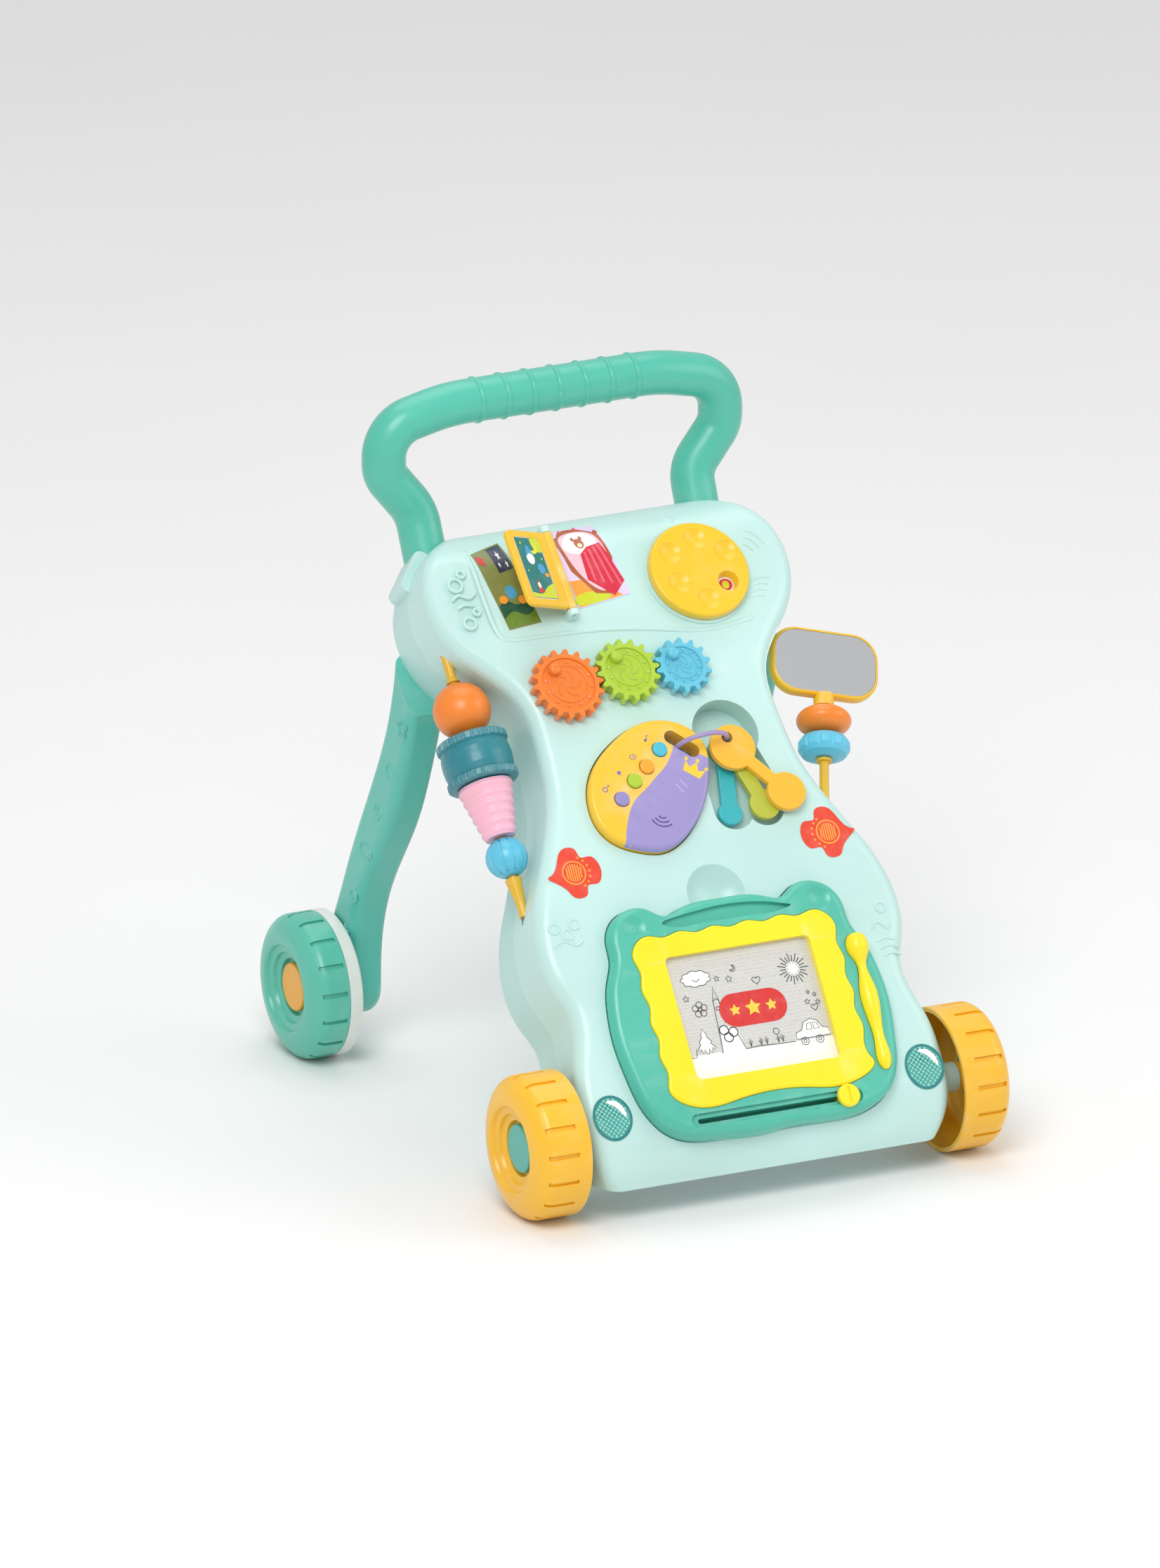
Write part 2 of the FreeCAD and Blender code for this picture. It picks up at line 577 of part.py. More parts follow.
def bead(profile, smooth=True):
    """Bead turned about local y from (place along y, radius) points, with its bore."""
    points = [Vector(r, y, 0) for y, r in profile]
    ends = [Vector(BEAD_BORE_R, y, 0) for y in (profile[-1][0], profile[0][0])]
    if smooth:
        curve = Part.BSplineCurve()
        curve.interpolate(points)
        skin = [curve.toShape()]
    else:
        skin = [Part.makeLine(a, b) for a, b in zip(points, points[1:])]
    loop = [points[-1]] + ends + [points[0]]
    skin += [Part.makeLine(a, b) for a, b in zip(loop, loop[1:])]
    return Part.Face(Part.Wire(skin)).revolve(Vector(0, 0, 0), Y, 360)


def on_rod(shape):
    return moved(shifted(shape, ROD_AT[0], 0, ROD_AT[1]), PANEL)


def notched(shape, count, ring_r, notch_r, y0, y1):
    """The bead with small hollows parallel to its axis, evenly round it between two heights."""
    cutters = []
    for i in range(count):
        a = 2 * math.pi * i / count
        start = Vector(ring_r * math.cos(a), y0, ring_r * math.sin(a))
        cutters.append(Part.makeCylinder(notch_r, y1 - y0, start, Y))
    return shape.cut(Part.makeCompound(cutters))


def fluted(shape, centre, ring_r, flute_r, rings, reach):
    """The ball with grooves that run from pole to pole, stopping short of the bore."""
    band = Part.makeCylinder(ring_r + 2 * flute_r, 2 * reach, Vector(0, centre - reach, 0), Y)
    for i in range(rings):
        a = math.pi * i / rings
        groove = Part.makeTorus(ring_r, flute_r, Vector(0, centre, 0),
                                Vector(math.cos(a), 0, math.sin(a)))
        shape = shape.cut(groove.common(band))
    return shape


def ball_profile(centre, r, squash=1.0):
    end = math.acos((BEAD_BORE_R + 0.8) / r)
    angles = [end * i / 7 for i in range(-7, 8)]
    return [(centre + r * squash * math.sin(a), r * math.cos(a)) for a in angles]


def ribbed_profile(s0, s1, r0, r1, ribs, depth):
    steps = 6 * ribs
    rows = []
    for i in range(steps + 1):
        t = i / steps
        wave = depth * (0.5 + 0.5 * math.cos(2 * math.pi * ribs * t))
        rows.append((s0 + (s1 - s0) * t, r0 + (r1 - r0) * t - wave))
    return rows


def build_bead_rod():
    low, high = 146.0, 324.0
    rod = [bar(rod_point(low), rod_point(high), 3.0),
           bar(rod_point(156), rod_point(171.4), 3.01, 5.4),
           bar(rod_point(309), rod_point(305.2), 3.01, 4.6)]
    nodes["bead_rod"] = moved(fused(rod), PANEL)
    nodes["bead_ball"] = on_rod(bead(ball_profile(286.0, 18.3)))
    barrel = bead([(235.4, 12), (235.9, 21.4), (237, 22.8), (240.6, 22.8), (241.8, 21.2),
                   (246, 22.2), (251.3, 22.6), (256.6, 22.2), (260.8, 21.2), (262, 22.8),
                   (265.6, 22.8), (266.7, 21.4), (267.2, 12)], False)
    for low_end in (235.0, 261.4):
        barrel = notched(barrel, 26, 23.4, 1.3, low_end, low_end + 6.2)
    nodes["bead_barrel"] = on_rod(barrel)
    nodes["bead_cone"] = on_rod(bead(ribbed_profile(199.6, 234.8, 10.6, 18.2, 6, 1.0)))
    small = bead(ball_profile(186.0, 13.3))
    nodes["bead_small"] = on_rod(fluted(small, 186.0, 13.9, 1.3, 5, 10.5))


MIRROR_AXIS = Vector(math.sin(math.radians(MIRROR_LEAN)), math.cos(math.radians(MIRROR_LEAN)), 0)
MIRROR_CENTRE = Vector(*MIRROR_AT)
MIRROR_W, MIRROR_H, MIRROR_T = 71.0, 45.0, 9.0
MIRROR_RIM = 2.0
MIRROR_POST_END = -18.0


def mirror_place():
    return Placement(MIRROR_CENTRE, Rotation(Z, -MIRROR_LEAN))


def build_mirror():
    """Local y runs up the post, local z out of the face; the post ends in the frame's socket."""
    post = fused([bar(Vector(0, -112, 0), Vector(0, MIRROR_POST_END, 0), 3.0),
                  bar(Vector(0, -63.5, 0), Vector(0, -61.6, 0), 5.0)])
    shape = rounded_box(MIRROR_W, MIRROR_H, 17, -MIRROR_T / 2, MIRROR_T / 2, 0, 3)
    shape = softened(softened(shape, 2.5, MIRROR_T / 2), 2.5, -MIRROR_T / 2)
    neck = Part.makeCylinder(6.5, 8, Vector(0, -25.5, 0), Y)
    inner_w, inner_h = MIRROR_W - 2 * MIRROR_RIM, MIRROR_H - 2 * MIRROR_RIM
    well = rounded_box(inner_w, inner_h, 15.2, MIRROR_T / 2 - 1.6, 10, 0, 3)
    bore = Part.makeCylinder(3.0 + FIT, MIRROR_POST_END + 26.2, Vector(0, -26, 0), Y)
    frame = fused([shape, neck]).cut(well).cut(bore)
    plate = rounded_box(inner_w - 0.4, inner_h - 0.4, 15.0, MIRROR_T / 2 - 1.6,
                        MIRROR_T / 2 - 0.5, 0, 3)
    facets = [(-61.0, 8.5), (-59, 14.0), (-55.5, 16.4), (-51, 16.4), (-47.5, 14.0), (-45.6, 8.5)]
    place = PANEL.multiply(mirror_place())
    parts = {"mirror_post": post, "mirror_frame": frame, "mirror_plate": plate,
             "mirror_bead_orange": bead(ball_profile(-35.5, 17.4, 0.56)),
             "mirror_bead_blue": notched(bead(facets, False), 12, 17.2, 1.8, -60.2, -46.4)}
    for name, shape in parts.items():
        nodes[name] = moved(shape, place)


# ---- stickers that follow the face ----
def ellipse_wire(x, y, rx, ry):
    return Part.Wire(Part.Ellipse(Vector(x, y + ry, 0), Vector(x + rx, y, 0),
                                  Vector(x, y, 0)).toShape())


def build_stickers():
    skin = profile_prism(-0.3).cut(profile_prism(0.0))
    lamps = [ellipse_wire(side * HEADLIGHT_AT[0], HEADLIGHT_AT[1], 13.2, 14.4)
             for side in (-1, 1)]
    u, s = SPEAKER_AT
    shape = [(-17, 0), (-9, 9), (-4, 16), (1, 17), (5, 15), (7, 9.5), (14, 9), (17, 6), (17, -6),
             (14, -9), (7, -9.5), (5, -15), (1, -17), (-4, -16), (-9, -9)]
    labels = [smooth_loop([(side * (x - u), y + s) for x, y in shape]) for side in (1, -1)]
    for name, wires in (("headlight_stickers", lamps), ("speaker_stickers", labels)):
        patches = [skin.common(prism(w, -30, 30)) for w in wires]
        nodes[name] = moved(Part.makeCompound(patches), PANEL)


# ---- wheels ----
SHOULDER_DEPTH, SHOULDER_DROP = 12.0, 17.0
RIM_T = 3.0
SLOT_DEPTH = 1.6
SLOT_ANGLE = 3.4
CAP_SEAT_DEPTH = 9.6
CAP_R = 15.6
PEG_R = 1.6
PEG_RING_R = 12.0
PEG_ANGLES = (0.6, 2.7, 4.8)


def shoulder(r, w, grow, angles):
    """Elliptic rounding from the tread to the outer lip, moved outwards by grow."""
    return [(w - SHOULDER_DEPTH + (SHOULDER_DEPTH + grow) * math.sin(math.radians(a)),
             r - SHOULDER_DROP + (SHOULDER_DROP + grow) * math.cos(math.radians(a)))
            for a in angles]


def wheel_slots(r, w, start):
    """Tread slots: one strip along the tread and onto the shoulder, turned round the axle."""
    strip = [(start, r + 1)] + shoulder(r, w, 1.0, (0, 9, 18, 27))
    strip += shoulder(r, w, -SLOT_DEPTH, (27, 18, 9, 0)) + [(start, r - SLOT_DEPTH)]
    face = Part.Face(Part.makePolygon([Vector(x, 0, z) for x, z in strip + strip[:1]]))
    first = face.revolve(Vector(0, 0, 0), X, SLOT_ANGLE)
    turns = [Placement(Vector(), Rotation(X, 360.0 * (i + 0.5) / TREAD_SLOTS))
             for i in range(TREAD_SLOTS)]
    return Part.makeCompound([moved(first, turn) for turn in turns])


def cap_pegs(r, start, length):
    return [Part.makeCylinder(r, length, Vector(start, PEG_RING_R * math.cos(a),
                                                PEG_RING_R * math.sin(a)), X)
            for a in PEG_ANGLES]


def wheel(r, w, rim_start, slot_start, hub_x, axle_r):
    """Hollow wheel: tread and shoulder, dished face with ring steps, hub tube."""
    seat_x = w - CAP_SEAT_DEPTH
    web_x = seat_x - RIM_T
    rim = [(rim_start, r - RIM_T), (rim_start, r - 0.6), (rim_start + 0.6, r)]
    outside = shoulder(r, w, 0.0, range(0, 91, 10))
    dish = [(w - 0.8, r - 18.6), (w - 2.4, r - 19.4), (w - 3.4, r - 23.5), (w - 5.4, r - 24.3),
            (w - 6.6, r - 28), (seat_x, r - 28.8), (seat_x, axle_r + FIT)]
    hub = [(hub_x, axle_r + FIT), (hub_x, 9), (web_x, 9), (web_x, r - 26.5)]
    under_dish = [(w - 9.6, r - 25.8), (w - 8.4, r - 22), (w - 6.2, r - 21.4), (w - 4.6, r - 17.6)]
    lining = shoulder(r, w, -RIM_T, range(80, -1, -10))
    loop = rim + outside + dish + hub + under_dish + lining
    blank = revolved([Vector(x, 0, radius) for x, radius in loop])
    holes = cap_pegs(PEG_R + FIT, seat_x - 4, 6)
    return blank.cut(wheel_slots(r, w, slot_start)).cut(Part.makeCompound(holes))


def hub_cap(w):
    seat_x = w - CAP_SEAT_DEPTH
    cap = Part.makeCylinder(CAP_R, 3.6, Vector(seat_x, 0, 0), X)
    rim = [e for e in cap.Edges if e.BoundBox.XMin > seat_x + 3]
    cap = cap.makeFillet(1.4, rim).cut(Part.makeCylinder(8.6, 2.1, Vector(seat_x, 0, 0), X))
    return fused([cap] + cap_pegs(PEG_R, seat_x - 4.2, 5.2))


def both_sides(name, shape, inner_x, axle):
    placed = shifted(shape, inner_x, *axle)
    nodes[name + "_right"] = placed
    nodes[name + "_left"] = mirrored(placed)


FRONT_INNER_X = WHEEL_OUTER_X - FRONT_WHEEL_W
REAR_INNER_X = WHEEL_OUTER_X - REAR_WHEEL_W
SLOT_START = {"front": 9.0, "rear": 11.0}
HUB_X = {"front": 14.4, "rear": 1.2}
BAND_SEAT_R = 43.7


def build_wheels():
    front = wheel(FRONT_WHEEL_R, FRONT_WHEEL_W, 0.0, SLOT_START["front"], HUB_X["front"],
                  FRONT_AXLE_R)
    both_sides("front_wheel", front, FRONT_INNER_X, FRONT_AXLE)
    both_sides("front_hub_cap", hub_cap(FRONT_WHEEL_W), FRONT_INNER_X, FRONT_AXLE)
    rear = wheel(REAR_WHEEL_R, REAR_WHEEL_W, REAR_BAND_W, SLOT_START["rear"], HUB_X["rear"],
                 REAR_AXLE_R)
    shelf = Part.makeCylinder(BAND_SEAT_R, REAR_BAND_W + 3, Vector(0.6, 0, 0), X).cut(
        Part.makeCylinder(BAND_SEAT_R - 2.5, 20, Vector(0, 0, 0), X))
    both_sides("rear_wheel", fused([rear, shelf]), REAR_INNER_X, REAR_AXLE)
    both_sides("rear_hub_cap", hub_cap(REAR_WHEEL_W), REAR_INNER_X, REAR_AXLE)
    band = revolved([Vector(0, 0, BAND_SEAT_R), Vector(0, 0, 45.3), Vector(1.2, 0, REAR_WHEEL_R),
                     Vector(REAR_BAND_W, 0, REAR_WHEEL_R), Vector(REAR_BAND_W, 0, BAND_SEAT_R)])
    both_sides("rear_wheel_band", band, REAR_INNER_X, REAR_AXLE)


NUT_R, NUT_T = 7.5, 1.2
AXLE_TIP_X = WHEEL_OUTER_X - CAP_SEAT_DEPTH + 1.4
REAR_PIN_HEAD_X = 103.0


def build_axles():
    tip = AXLE_TIP_X
    y, z = FRONT_AXLE
    axle = Part.makeCylinder(FRONT_AXLE_R, 2 * tip, Vector(-tip, y, z), X)
    nuts = [Part.makeCylinder(NUT_R, NUT_T, Vector(x, y, z), X) for x in (tip - NUT_T, -tip)]
    nodes["front_axle"] = fused([axle] + nuts)
    y, z = REAR_AXLE
    pin = Part.makeCylinder(REAR_AXLE_R, tip - REAR_PIN_HEAD_X, Vector(REAR_PIN_HEAD_X, y, z), X)
    head = Part.makeCylinder(7.0, 2.0, Vector(REAR_PIN_HEAD_X, y, z), X)
    nut = Part.makeCylinder(NUT_R, NUT_T, Vector(tip - NUT_T, y, z), X)
    pin = fused([pin, head, nut])
    nodes["rear_axle_pins"] = Part.makeCompound([pin, mirrored(pin)])


# ---- rear legs ----
LEG_X = (105.0, 130.0)
LEG_FOOT_R = 22.5
LEG_FRONT = [(38, 292), (48, 266), (56, 240), (67, 212), (82, 180), (99, 153.5), (116, 130),
             (131, 104), (139.5, 76)]
LEG_REAR = [(175, 80), (162, 104), (145, 138), (128, 169), (107, 206), (90, 241), (80, 274),
            (76, 306)]
LEG_SPIGOT_X = (106, 116)
LEG_SPIGOT_S = (328, 352)


def build_legs():
    y0, z0 = REAR_AXLE
    foot = [(y0 + LEG_FOOT_R * math.cos(a), z0 + LEG_FOOT_R * math.sin(a))
            for a in [math.radians(170 + 33 * i) for i in range(7)]]
    side = Part.BSplineCurve()
    side.interpolate([Vector(0, y, z) for y, z in LEG_FRONT + foot + LEG_REAR])
    curve = side.toShape()
    closing = Part.makeLine(Vector(0, *LEG_REAR[-1]), Vector(0, *LEG_FRONT[0]))
    face = Part.Face(Part.Wire([curve, closing]))
    face.translate(Vector(LEG_X[0], 0, 0))
    leg = face.extrude(Vector(LEG_X[1] - LEG_X[0], 0, 0))
    rims = [e for e in leg.Edges if e.BoundBox.XLength < 0.01 and e.Length > 100]
    leg = leg.makeFillet(7.0, rims)
    leg = leg.cut(moved(box(-200, 200, 200, 500, -CASE_DEPTH, 40), PANEL))
    spigot = moved(box(*LEG_SPIGOT_X, *LEG_SPIGOT_S, -CASE_DEPTH - 6, -44), PANEL)
    bore = Part.makeCylinder(REAR_AXLE_R + FIT, 60, Vector(90, y0, z0), X)
    recess = Part.makeCylinder(8.0, 6, Vector(LEG_X[0] - 4, y0, z0), X)
    leg = fused([leg, spigot]).cut(bore).cut(recess)
    nodes["rear_leg_right"] = leg
    nodes["rear_leg_left"] = mirrored(leg)


# ---- push bow ----
def rounded_path(points, radii):
    """Straight runs joined by tangent arcs."""
    edges = []
    start = points[0]
    for before, corner, after, r in zip(points, points[1:], points[2:], radii):
        a, b = (before - corner).normalize(), (after - corner).normalize()
        half = a.getAngle(b) / 2
        reach = r / math.tan(half)
        centre = corner + (a + b).normalize() * (r / math.sin(half))
        enter, leave = corner + a * reach, corner + b * reach
        middle = centre + (corner - centre).normalize() * r
        edges += [Part.makeLine(start, enter), Part.Arc(enter, middle, leave).toShape()]
        start = leave
    edges.append(Part.makeLine(start, points[-1]))
    return Part.Wire(edges)


def handle_points():
    right = [Vector(95, 94, 326), Vector(95.5, HANDLE_Y - 1.5, 369),
             Vector(HANDLE_HALF, HANDLE_Y, 396), Vector(HANDLE_HALF, HANDLE_Y, 426),
             Vector(GRIP_HALF, HANDLE_Y, HANDLE_TOP_Z)]
    left = [Vector(-p.x, p.y, p.z) for p in reversed(right)]
    return right + left


def handle_tube(r):
    points = handle_points()
    bends = [24.0, 19.0, 24.0, 120.0, 120.0, 24.0, 19.0, 24.0]
    path = rounded_path(points, bends)
    start = points[0]
    circle = Part.Wire(Part.makeCircle(r, start, points[1] - start))
    return path.makePipeShell([circle], True, True)


def build_handle():
    tube = handle_tube(HANDLE_R)
    parts = [tube]
    for i in range(GRIP_RIBS):
        x = (i - (GRIP_RIBS - 1) / 2) * GRIP_PITCH
        centre = Vector(x, HANDLE_Y, HANDLE_TOP_Z)
        parts.append(Part.makeTorus(HANDLE_R - 1.0, 2.0, centre, X))
    top = box(-200, 200, 0, 300, HANDLE_TOP_Z + HANDLE_R, 500)
    nodes["handle"] = fused(parts).cut(top)


# ---- casing ----
AXLE_BOSS_R, AXLE_BOSS_L, AXLE_BOSS_END = 9.5, 25.0, 143.0
CORNER_LUG = (16.0, 30.0, 5.0)
CORNER_LUG_AT = (109.0, 386.0)
CORNER_LUG_TURN = 40.0
SCOOP_AT = (2.0, 132.0)
SCOOP_R, SCOOP_LIFT = 26.0, 17.0


def screw_places():
    return [(-60, 60), (60, 60), (-62, 215), (62, 215), (-70, 375), (70, 375), (0, 130), (0, 300)]


def lobe_dish(side, extra_depth=0.0):
    """Shallow oval hollow in an upper corner of the face, left by the outside of a ring."""
    ring = Part.makeTorus(DISH_ALONG_R - DISH_ACROSS_R, DISH_ACROSS_R, Vector(0, 0, 0), X)
    lift = DISH_ALONG_R - DISH_DEPTH - extra_depth
    return moved(ring, face_frame(side * DISH_AT[0], DISH_AT[1], lift))


def build_casing():
    outer = casing_block(0.0)
    room = casing_block(WALL)
    axle_n = PANEL.inverse().multVec(Vector(0, *FRONT_AXLE))
    parting = axle_n.z
    hub_xy = [(GEAR_XY[name], FACE["gears"], GEAR_HUB_R) for name in GEAR_TEETH]
    hub_xy.append(((0.0, 0.0), FACE["dial"], 6.0))

    # Solid stock left inside the room: pocket tubs, hub sleeves, axle and screw posts.
    stock = [remote_seat(WALL, WALL)]
    stock.append(moved(prism(board_wire(0.6 + WALL), BOARD_BASE - GAP - WALL, 5), FACE["board"]))
    stock += [moved(disc(r + 3.5, GEAR_HUB_END + 1.2, 0, *xy), frame) if frame is FACE["gears"]
              else moved(disc(r + 3.5, -6.8, 0, *xy), frame) for xy, frame, r in hub_xy]
    scoop_centre = Vector(0, 0, SCOOP_LIFT)
    scoop = Part.makeSphere(SCOOP_R, scoop_centre)
    scoop_place = face_frame(*SCOOP_AT)
    stock.append(moved(Part.makeSphere(SCOOP_R + WALL, scoop_centre), scoop_place))
    posts = [disc(5.0, -CASE_DEPTH + 1, 5, *xy) for xy in screw_places()]
    saddle = Part.makeCylinder(AXLE_BOSS_R, 240, Vector(-120, axle_n.y, axle_n.z), X)
    rod_hole = bar(rod_point(140), rod_point(330), 3.0 + FIT)
    stock += [bar(rod_point(141), rod_point(160), 6.0), bar(rod_point(305), rod_point(328), 6.0)]
    foot = moved(bar(Vector(0, -120, 0), Vector(0, -85, 0), 6.0), mirror_place())
    stock.append(foot)
    stock.append(lobe_dish(-1, WALL))
    room = room.cut(Part.makeCompound(posts))
    for solid in stock + [saddle]:
        room = room.cut(solid)

    dial_seat = moved(disc(DIAL_R + 2.0, -12, 1.2), FACE["dial"])
    bosses = [Part.makeCylinder(AXLE_BOSS_R, AXLE_BOSS_L, Vector(x, axle_n.y, axle_n.z), X)
              for x in (AXLE_BOSS_END - AXLE_BOSS_L, -AXLE_BOSS_END)]
    for side in (-1, 1):
        lug = rounded_box(*CORNER_LUG, -60, parting)
        bosses.append(moved(lug, Placement(Vector(side * CORNER_LUG_AT[0], CORNER_LUG_AT[1], 0),
                                           Rotation(Z, side * CORNER_LUG_TURN))))
    shell = outer.fuse([dial_seat] + bosses + [book_ears()]).cut(room)

    cuts = [remote_seat(0.0, 0.0)]
    cuts.append(moved(prism(board_wire(0.6), BOARD_BASE - GAP, 30), FACE["board"]))
    cuts += [moved(disc(r + FIT, -20, 20, *xy), frame) for xy, frame, r in hub_xy]
    cuts.append(moved(scoop, scoop_place))
    cuts.append(lobe_dish(-1))
    cuts.append(Part.makeCylinder(FRONT_AXLE_R, 400, Vector(-200, axle_n.y, axle_n.z), X))
    cuts.append(rod_hole)
    cuts.append(moved(bar(Vector(0, -112, 0), Vector(0, -60, 0), 3.0 + FIT), mirror_place()))
    cuts.append(moved(Part.makeCylinder(1.2, 80, Vector(0, -31.5, PAGE_AXIS_LIFT), Y),
                      FACE["book"]))
    cuts += [disc(1.4, -CASE_DEPTH - 1, -8, *xy) for xy in screw_places()]
    cuts.append(moved(handle_tube(HANDLE_R + 0.1), PANEL.inverse()))
    for side in (-1, 1):
        low, high = sorted((side * (LEG_SPIGOT_X[0] - 0.2), side * (LEG_SPIGOT_X[1] + 0.2)))
        cuts.append(box(low, high, LEG_SPIGOT_S[0] - 0.2, LEG_SPIGOT_S[1] + 0.2, -90, -43.8))
    for solid in cuts:
        shell = shell.cut(solid)
    upper = shell.common(box(-300, 300, -300, 600, parting, 200))
    lower = shell.common(box(-300, 300, -300, 600, -300, parting))
    nodes["front_shell"] = moved(largest(upper), PANEL)
    nodes["back_cover"] = moved(largest(lower), PANEL)


def largest(shape):
    return max(shape.Solids, key=lambda solid: solid.Volume)


def build_screws():
    heads = []
    for u, s in screw_places():
        head = disc(3.2, -CASE_DEPTH - 2.0, -CASE_DEPTH, u, s)
        shank = disc(1.35, -CASE_DEPTH - 1.0, -16, u, s)
        heads.append(softened(head, 0.9, -CASE_DEPTH - 2.0).fuse(shank).removeSplitter())
    nodes["screws"] = moved(Part.makeCompound(heads), PANEL)


build_handle()
build_legs()
build_wheels()
build_axles()
build_casing()
build_screws()
build_gears()
build_dial()
build_book()
build_remote()
build_keys()
build_board()
build_bead_rod()
build_mirror()
build_stickers()

for name, shape in sorted(nodes.items()):
    shape = shifted(shape, y=ORIGIN_SHIFT_Y)
    if not shape.isValid():
        print("not valid:", name)
    shape.exportStep("parts/" + name + ".step")
    bb = shape.BoundBox
    print("%-20s %2d solids  %8.1f cm3  x %6.1f..%6.1f  y %6.1f..%6.1f  z %6.1f..%6.1f"
          % (name, len(shape.Solids), shape.Volume / 1000, bb.XMin, bb.XMax, bb.YMin, bb.YMax,
             bb.ZMin, bb.ZMax))
print(len(nodes), "nodes")
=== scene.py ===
import json
import math

import bmesh
import bpy
from mathutils import Matrix, Vector


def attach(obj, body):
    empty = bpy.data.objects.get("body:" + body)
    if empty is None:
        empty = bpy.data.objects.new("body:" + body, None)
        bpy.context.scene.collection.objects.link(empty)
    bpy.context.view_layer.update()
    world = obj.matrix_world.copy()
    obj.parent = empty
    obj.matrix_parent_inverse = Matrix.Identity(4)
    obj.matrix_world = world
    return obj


# Baby walker: materials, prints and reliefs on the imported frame. The frame is in metres; flat
# shapes and the casing's face are in millimetres.
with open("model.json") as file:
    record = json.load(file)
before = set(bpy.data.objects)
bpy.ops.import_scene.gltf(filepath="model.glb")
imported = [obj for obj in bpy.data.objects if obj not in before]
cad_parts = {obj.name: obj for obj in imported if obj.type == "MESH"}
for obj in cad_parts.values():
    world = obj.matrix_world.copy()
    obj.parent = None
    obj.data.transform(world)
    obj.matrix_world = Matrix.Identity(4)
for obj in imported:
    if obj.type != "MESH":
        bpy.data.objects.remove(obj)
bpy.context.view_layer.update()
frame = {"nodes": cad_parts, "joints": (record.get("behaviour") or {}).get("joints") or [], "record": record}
NODES = frame["nodes"]
JOINTS = {joint["name"]: joint for joint in frame["joints"]}
MM = 0.001

# ---- the casing's face: a tilted panel curved to one long radius ----
TILT = math.radians(50)
PANEL_ORIGIN = Vector((0, -0.1906, 0.0675))
FACE_R = 1970.0
FACE_APEX = (177.5, 8.0)
TOP_R, TOP_START = 43.4, 366.0
CHIN_R = 59.4
PANEL = Matrix.Translation(PANEL_ORIGIN) @ Matrix.Rotation(TILT, 4, "X")
MAIN_CENTRE = (FACE_APEX[0], FACE_APEX[1] - FACE_R)


def inner_centre(radius, angle):
    reach = FACE_R - radius
    return (MAIN_CENTRE[0] + reach * math.sin(angle), MAIN_CENTRE[1] + reach * math.cos(angle))


TOP_CENTRE = inner_centre(TOP_R, math.asin((TOP_START - FACE_APEX[0]) / FACE_R))
CHIN_CENTRE = inner_centre(CHIN_R, -math.asin(FACE_APEX[0] / FACE_R))


def skin_arc(s):
    """Centre and radius of the arc that the face follows at s millimetres up the slope."""
    if s > TOP_START:
        return TOP_CENTRE, TOP_R
    if s < 0:
        return CHIN_CENTRE, CHIN_R
    return MAIN_CENTRE, FACE_R


def on_skin(u, s, lift=0.0):
    """Point above the casing's face, from millimetres across, up the slope and off it."""
    (cs, cn), radius = skin_arc(s)
    sine = (s - cs) / radius
    cosine = math.sqrt(1 - sine * sine)
    reach = radius + lift
    return PANEL @ (Vector((u, cs + reach * sine, cn + reach * cosine)) * MM)


def face_place(u, s, lift=0.0):
    """Flat local frame on the face, in millimetres, with z out of it."""
    turn = -math.asin((s - MAIN_CENTRE[0]) / FACE_R)
    n = MAIN_CENTRE[1] + math.sqrt(FACE_R ** 2 - (s - MAIN_CENTRE[0]) ** 2)
    place = PANEL @ Matrix.Translation(Vector((u, s, n)) * MM) @ Matrix.Rotation(turn, 4, "X")
    return place @ Matrix.Translation((0, 0, lift * MM)) @ Matrix.Scale(MM, 4)


def flat(place):
    """Mapping from local millimetres to the frame, for a flat local frame."""
    return lambda x, y, z: place @ Vector((x, y, z))


# ---- materials ----
PLASTIC_ROUGH = 0.34
PRINT_ROUGH = 0.32


def rgb(r, g, b):
    return tuple((c / 255 / 12.92) if c <= 10 else ((c / 255 + 0.055) / 1.055) ** 2.4
                 for c in (r, g, b))


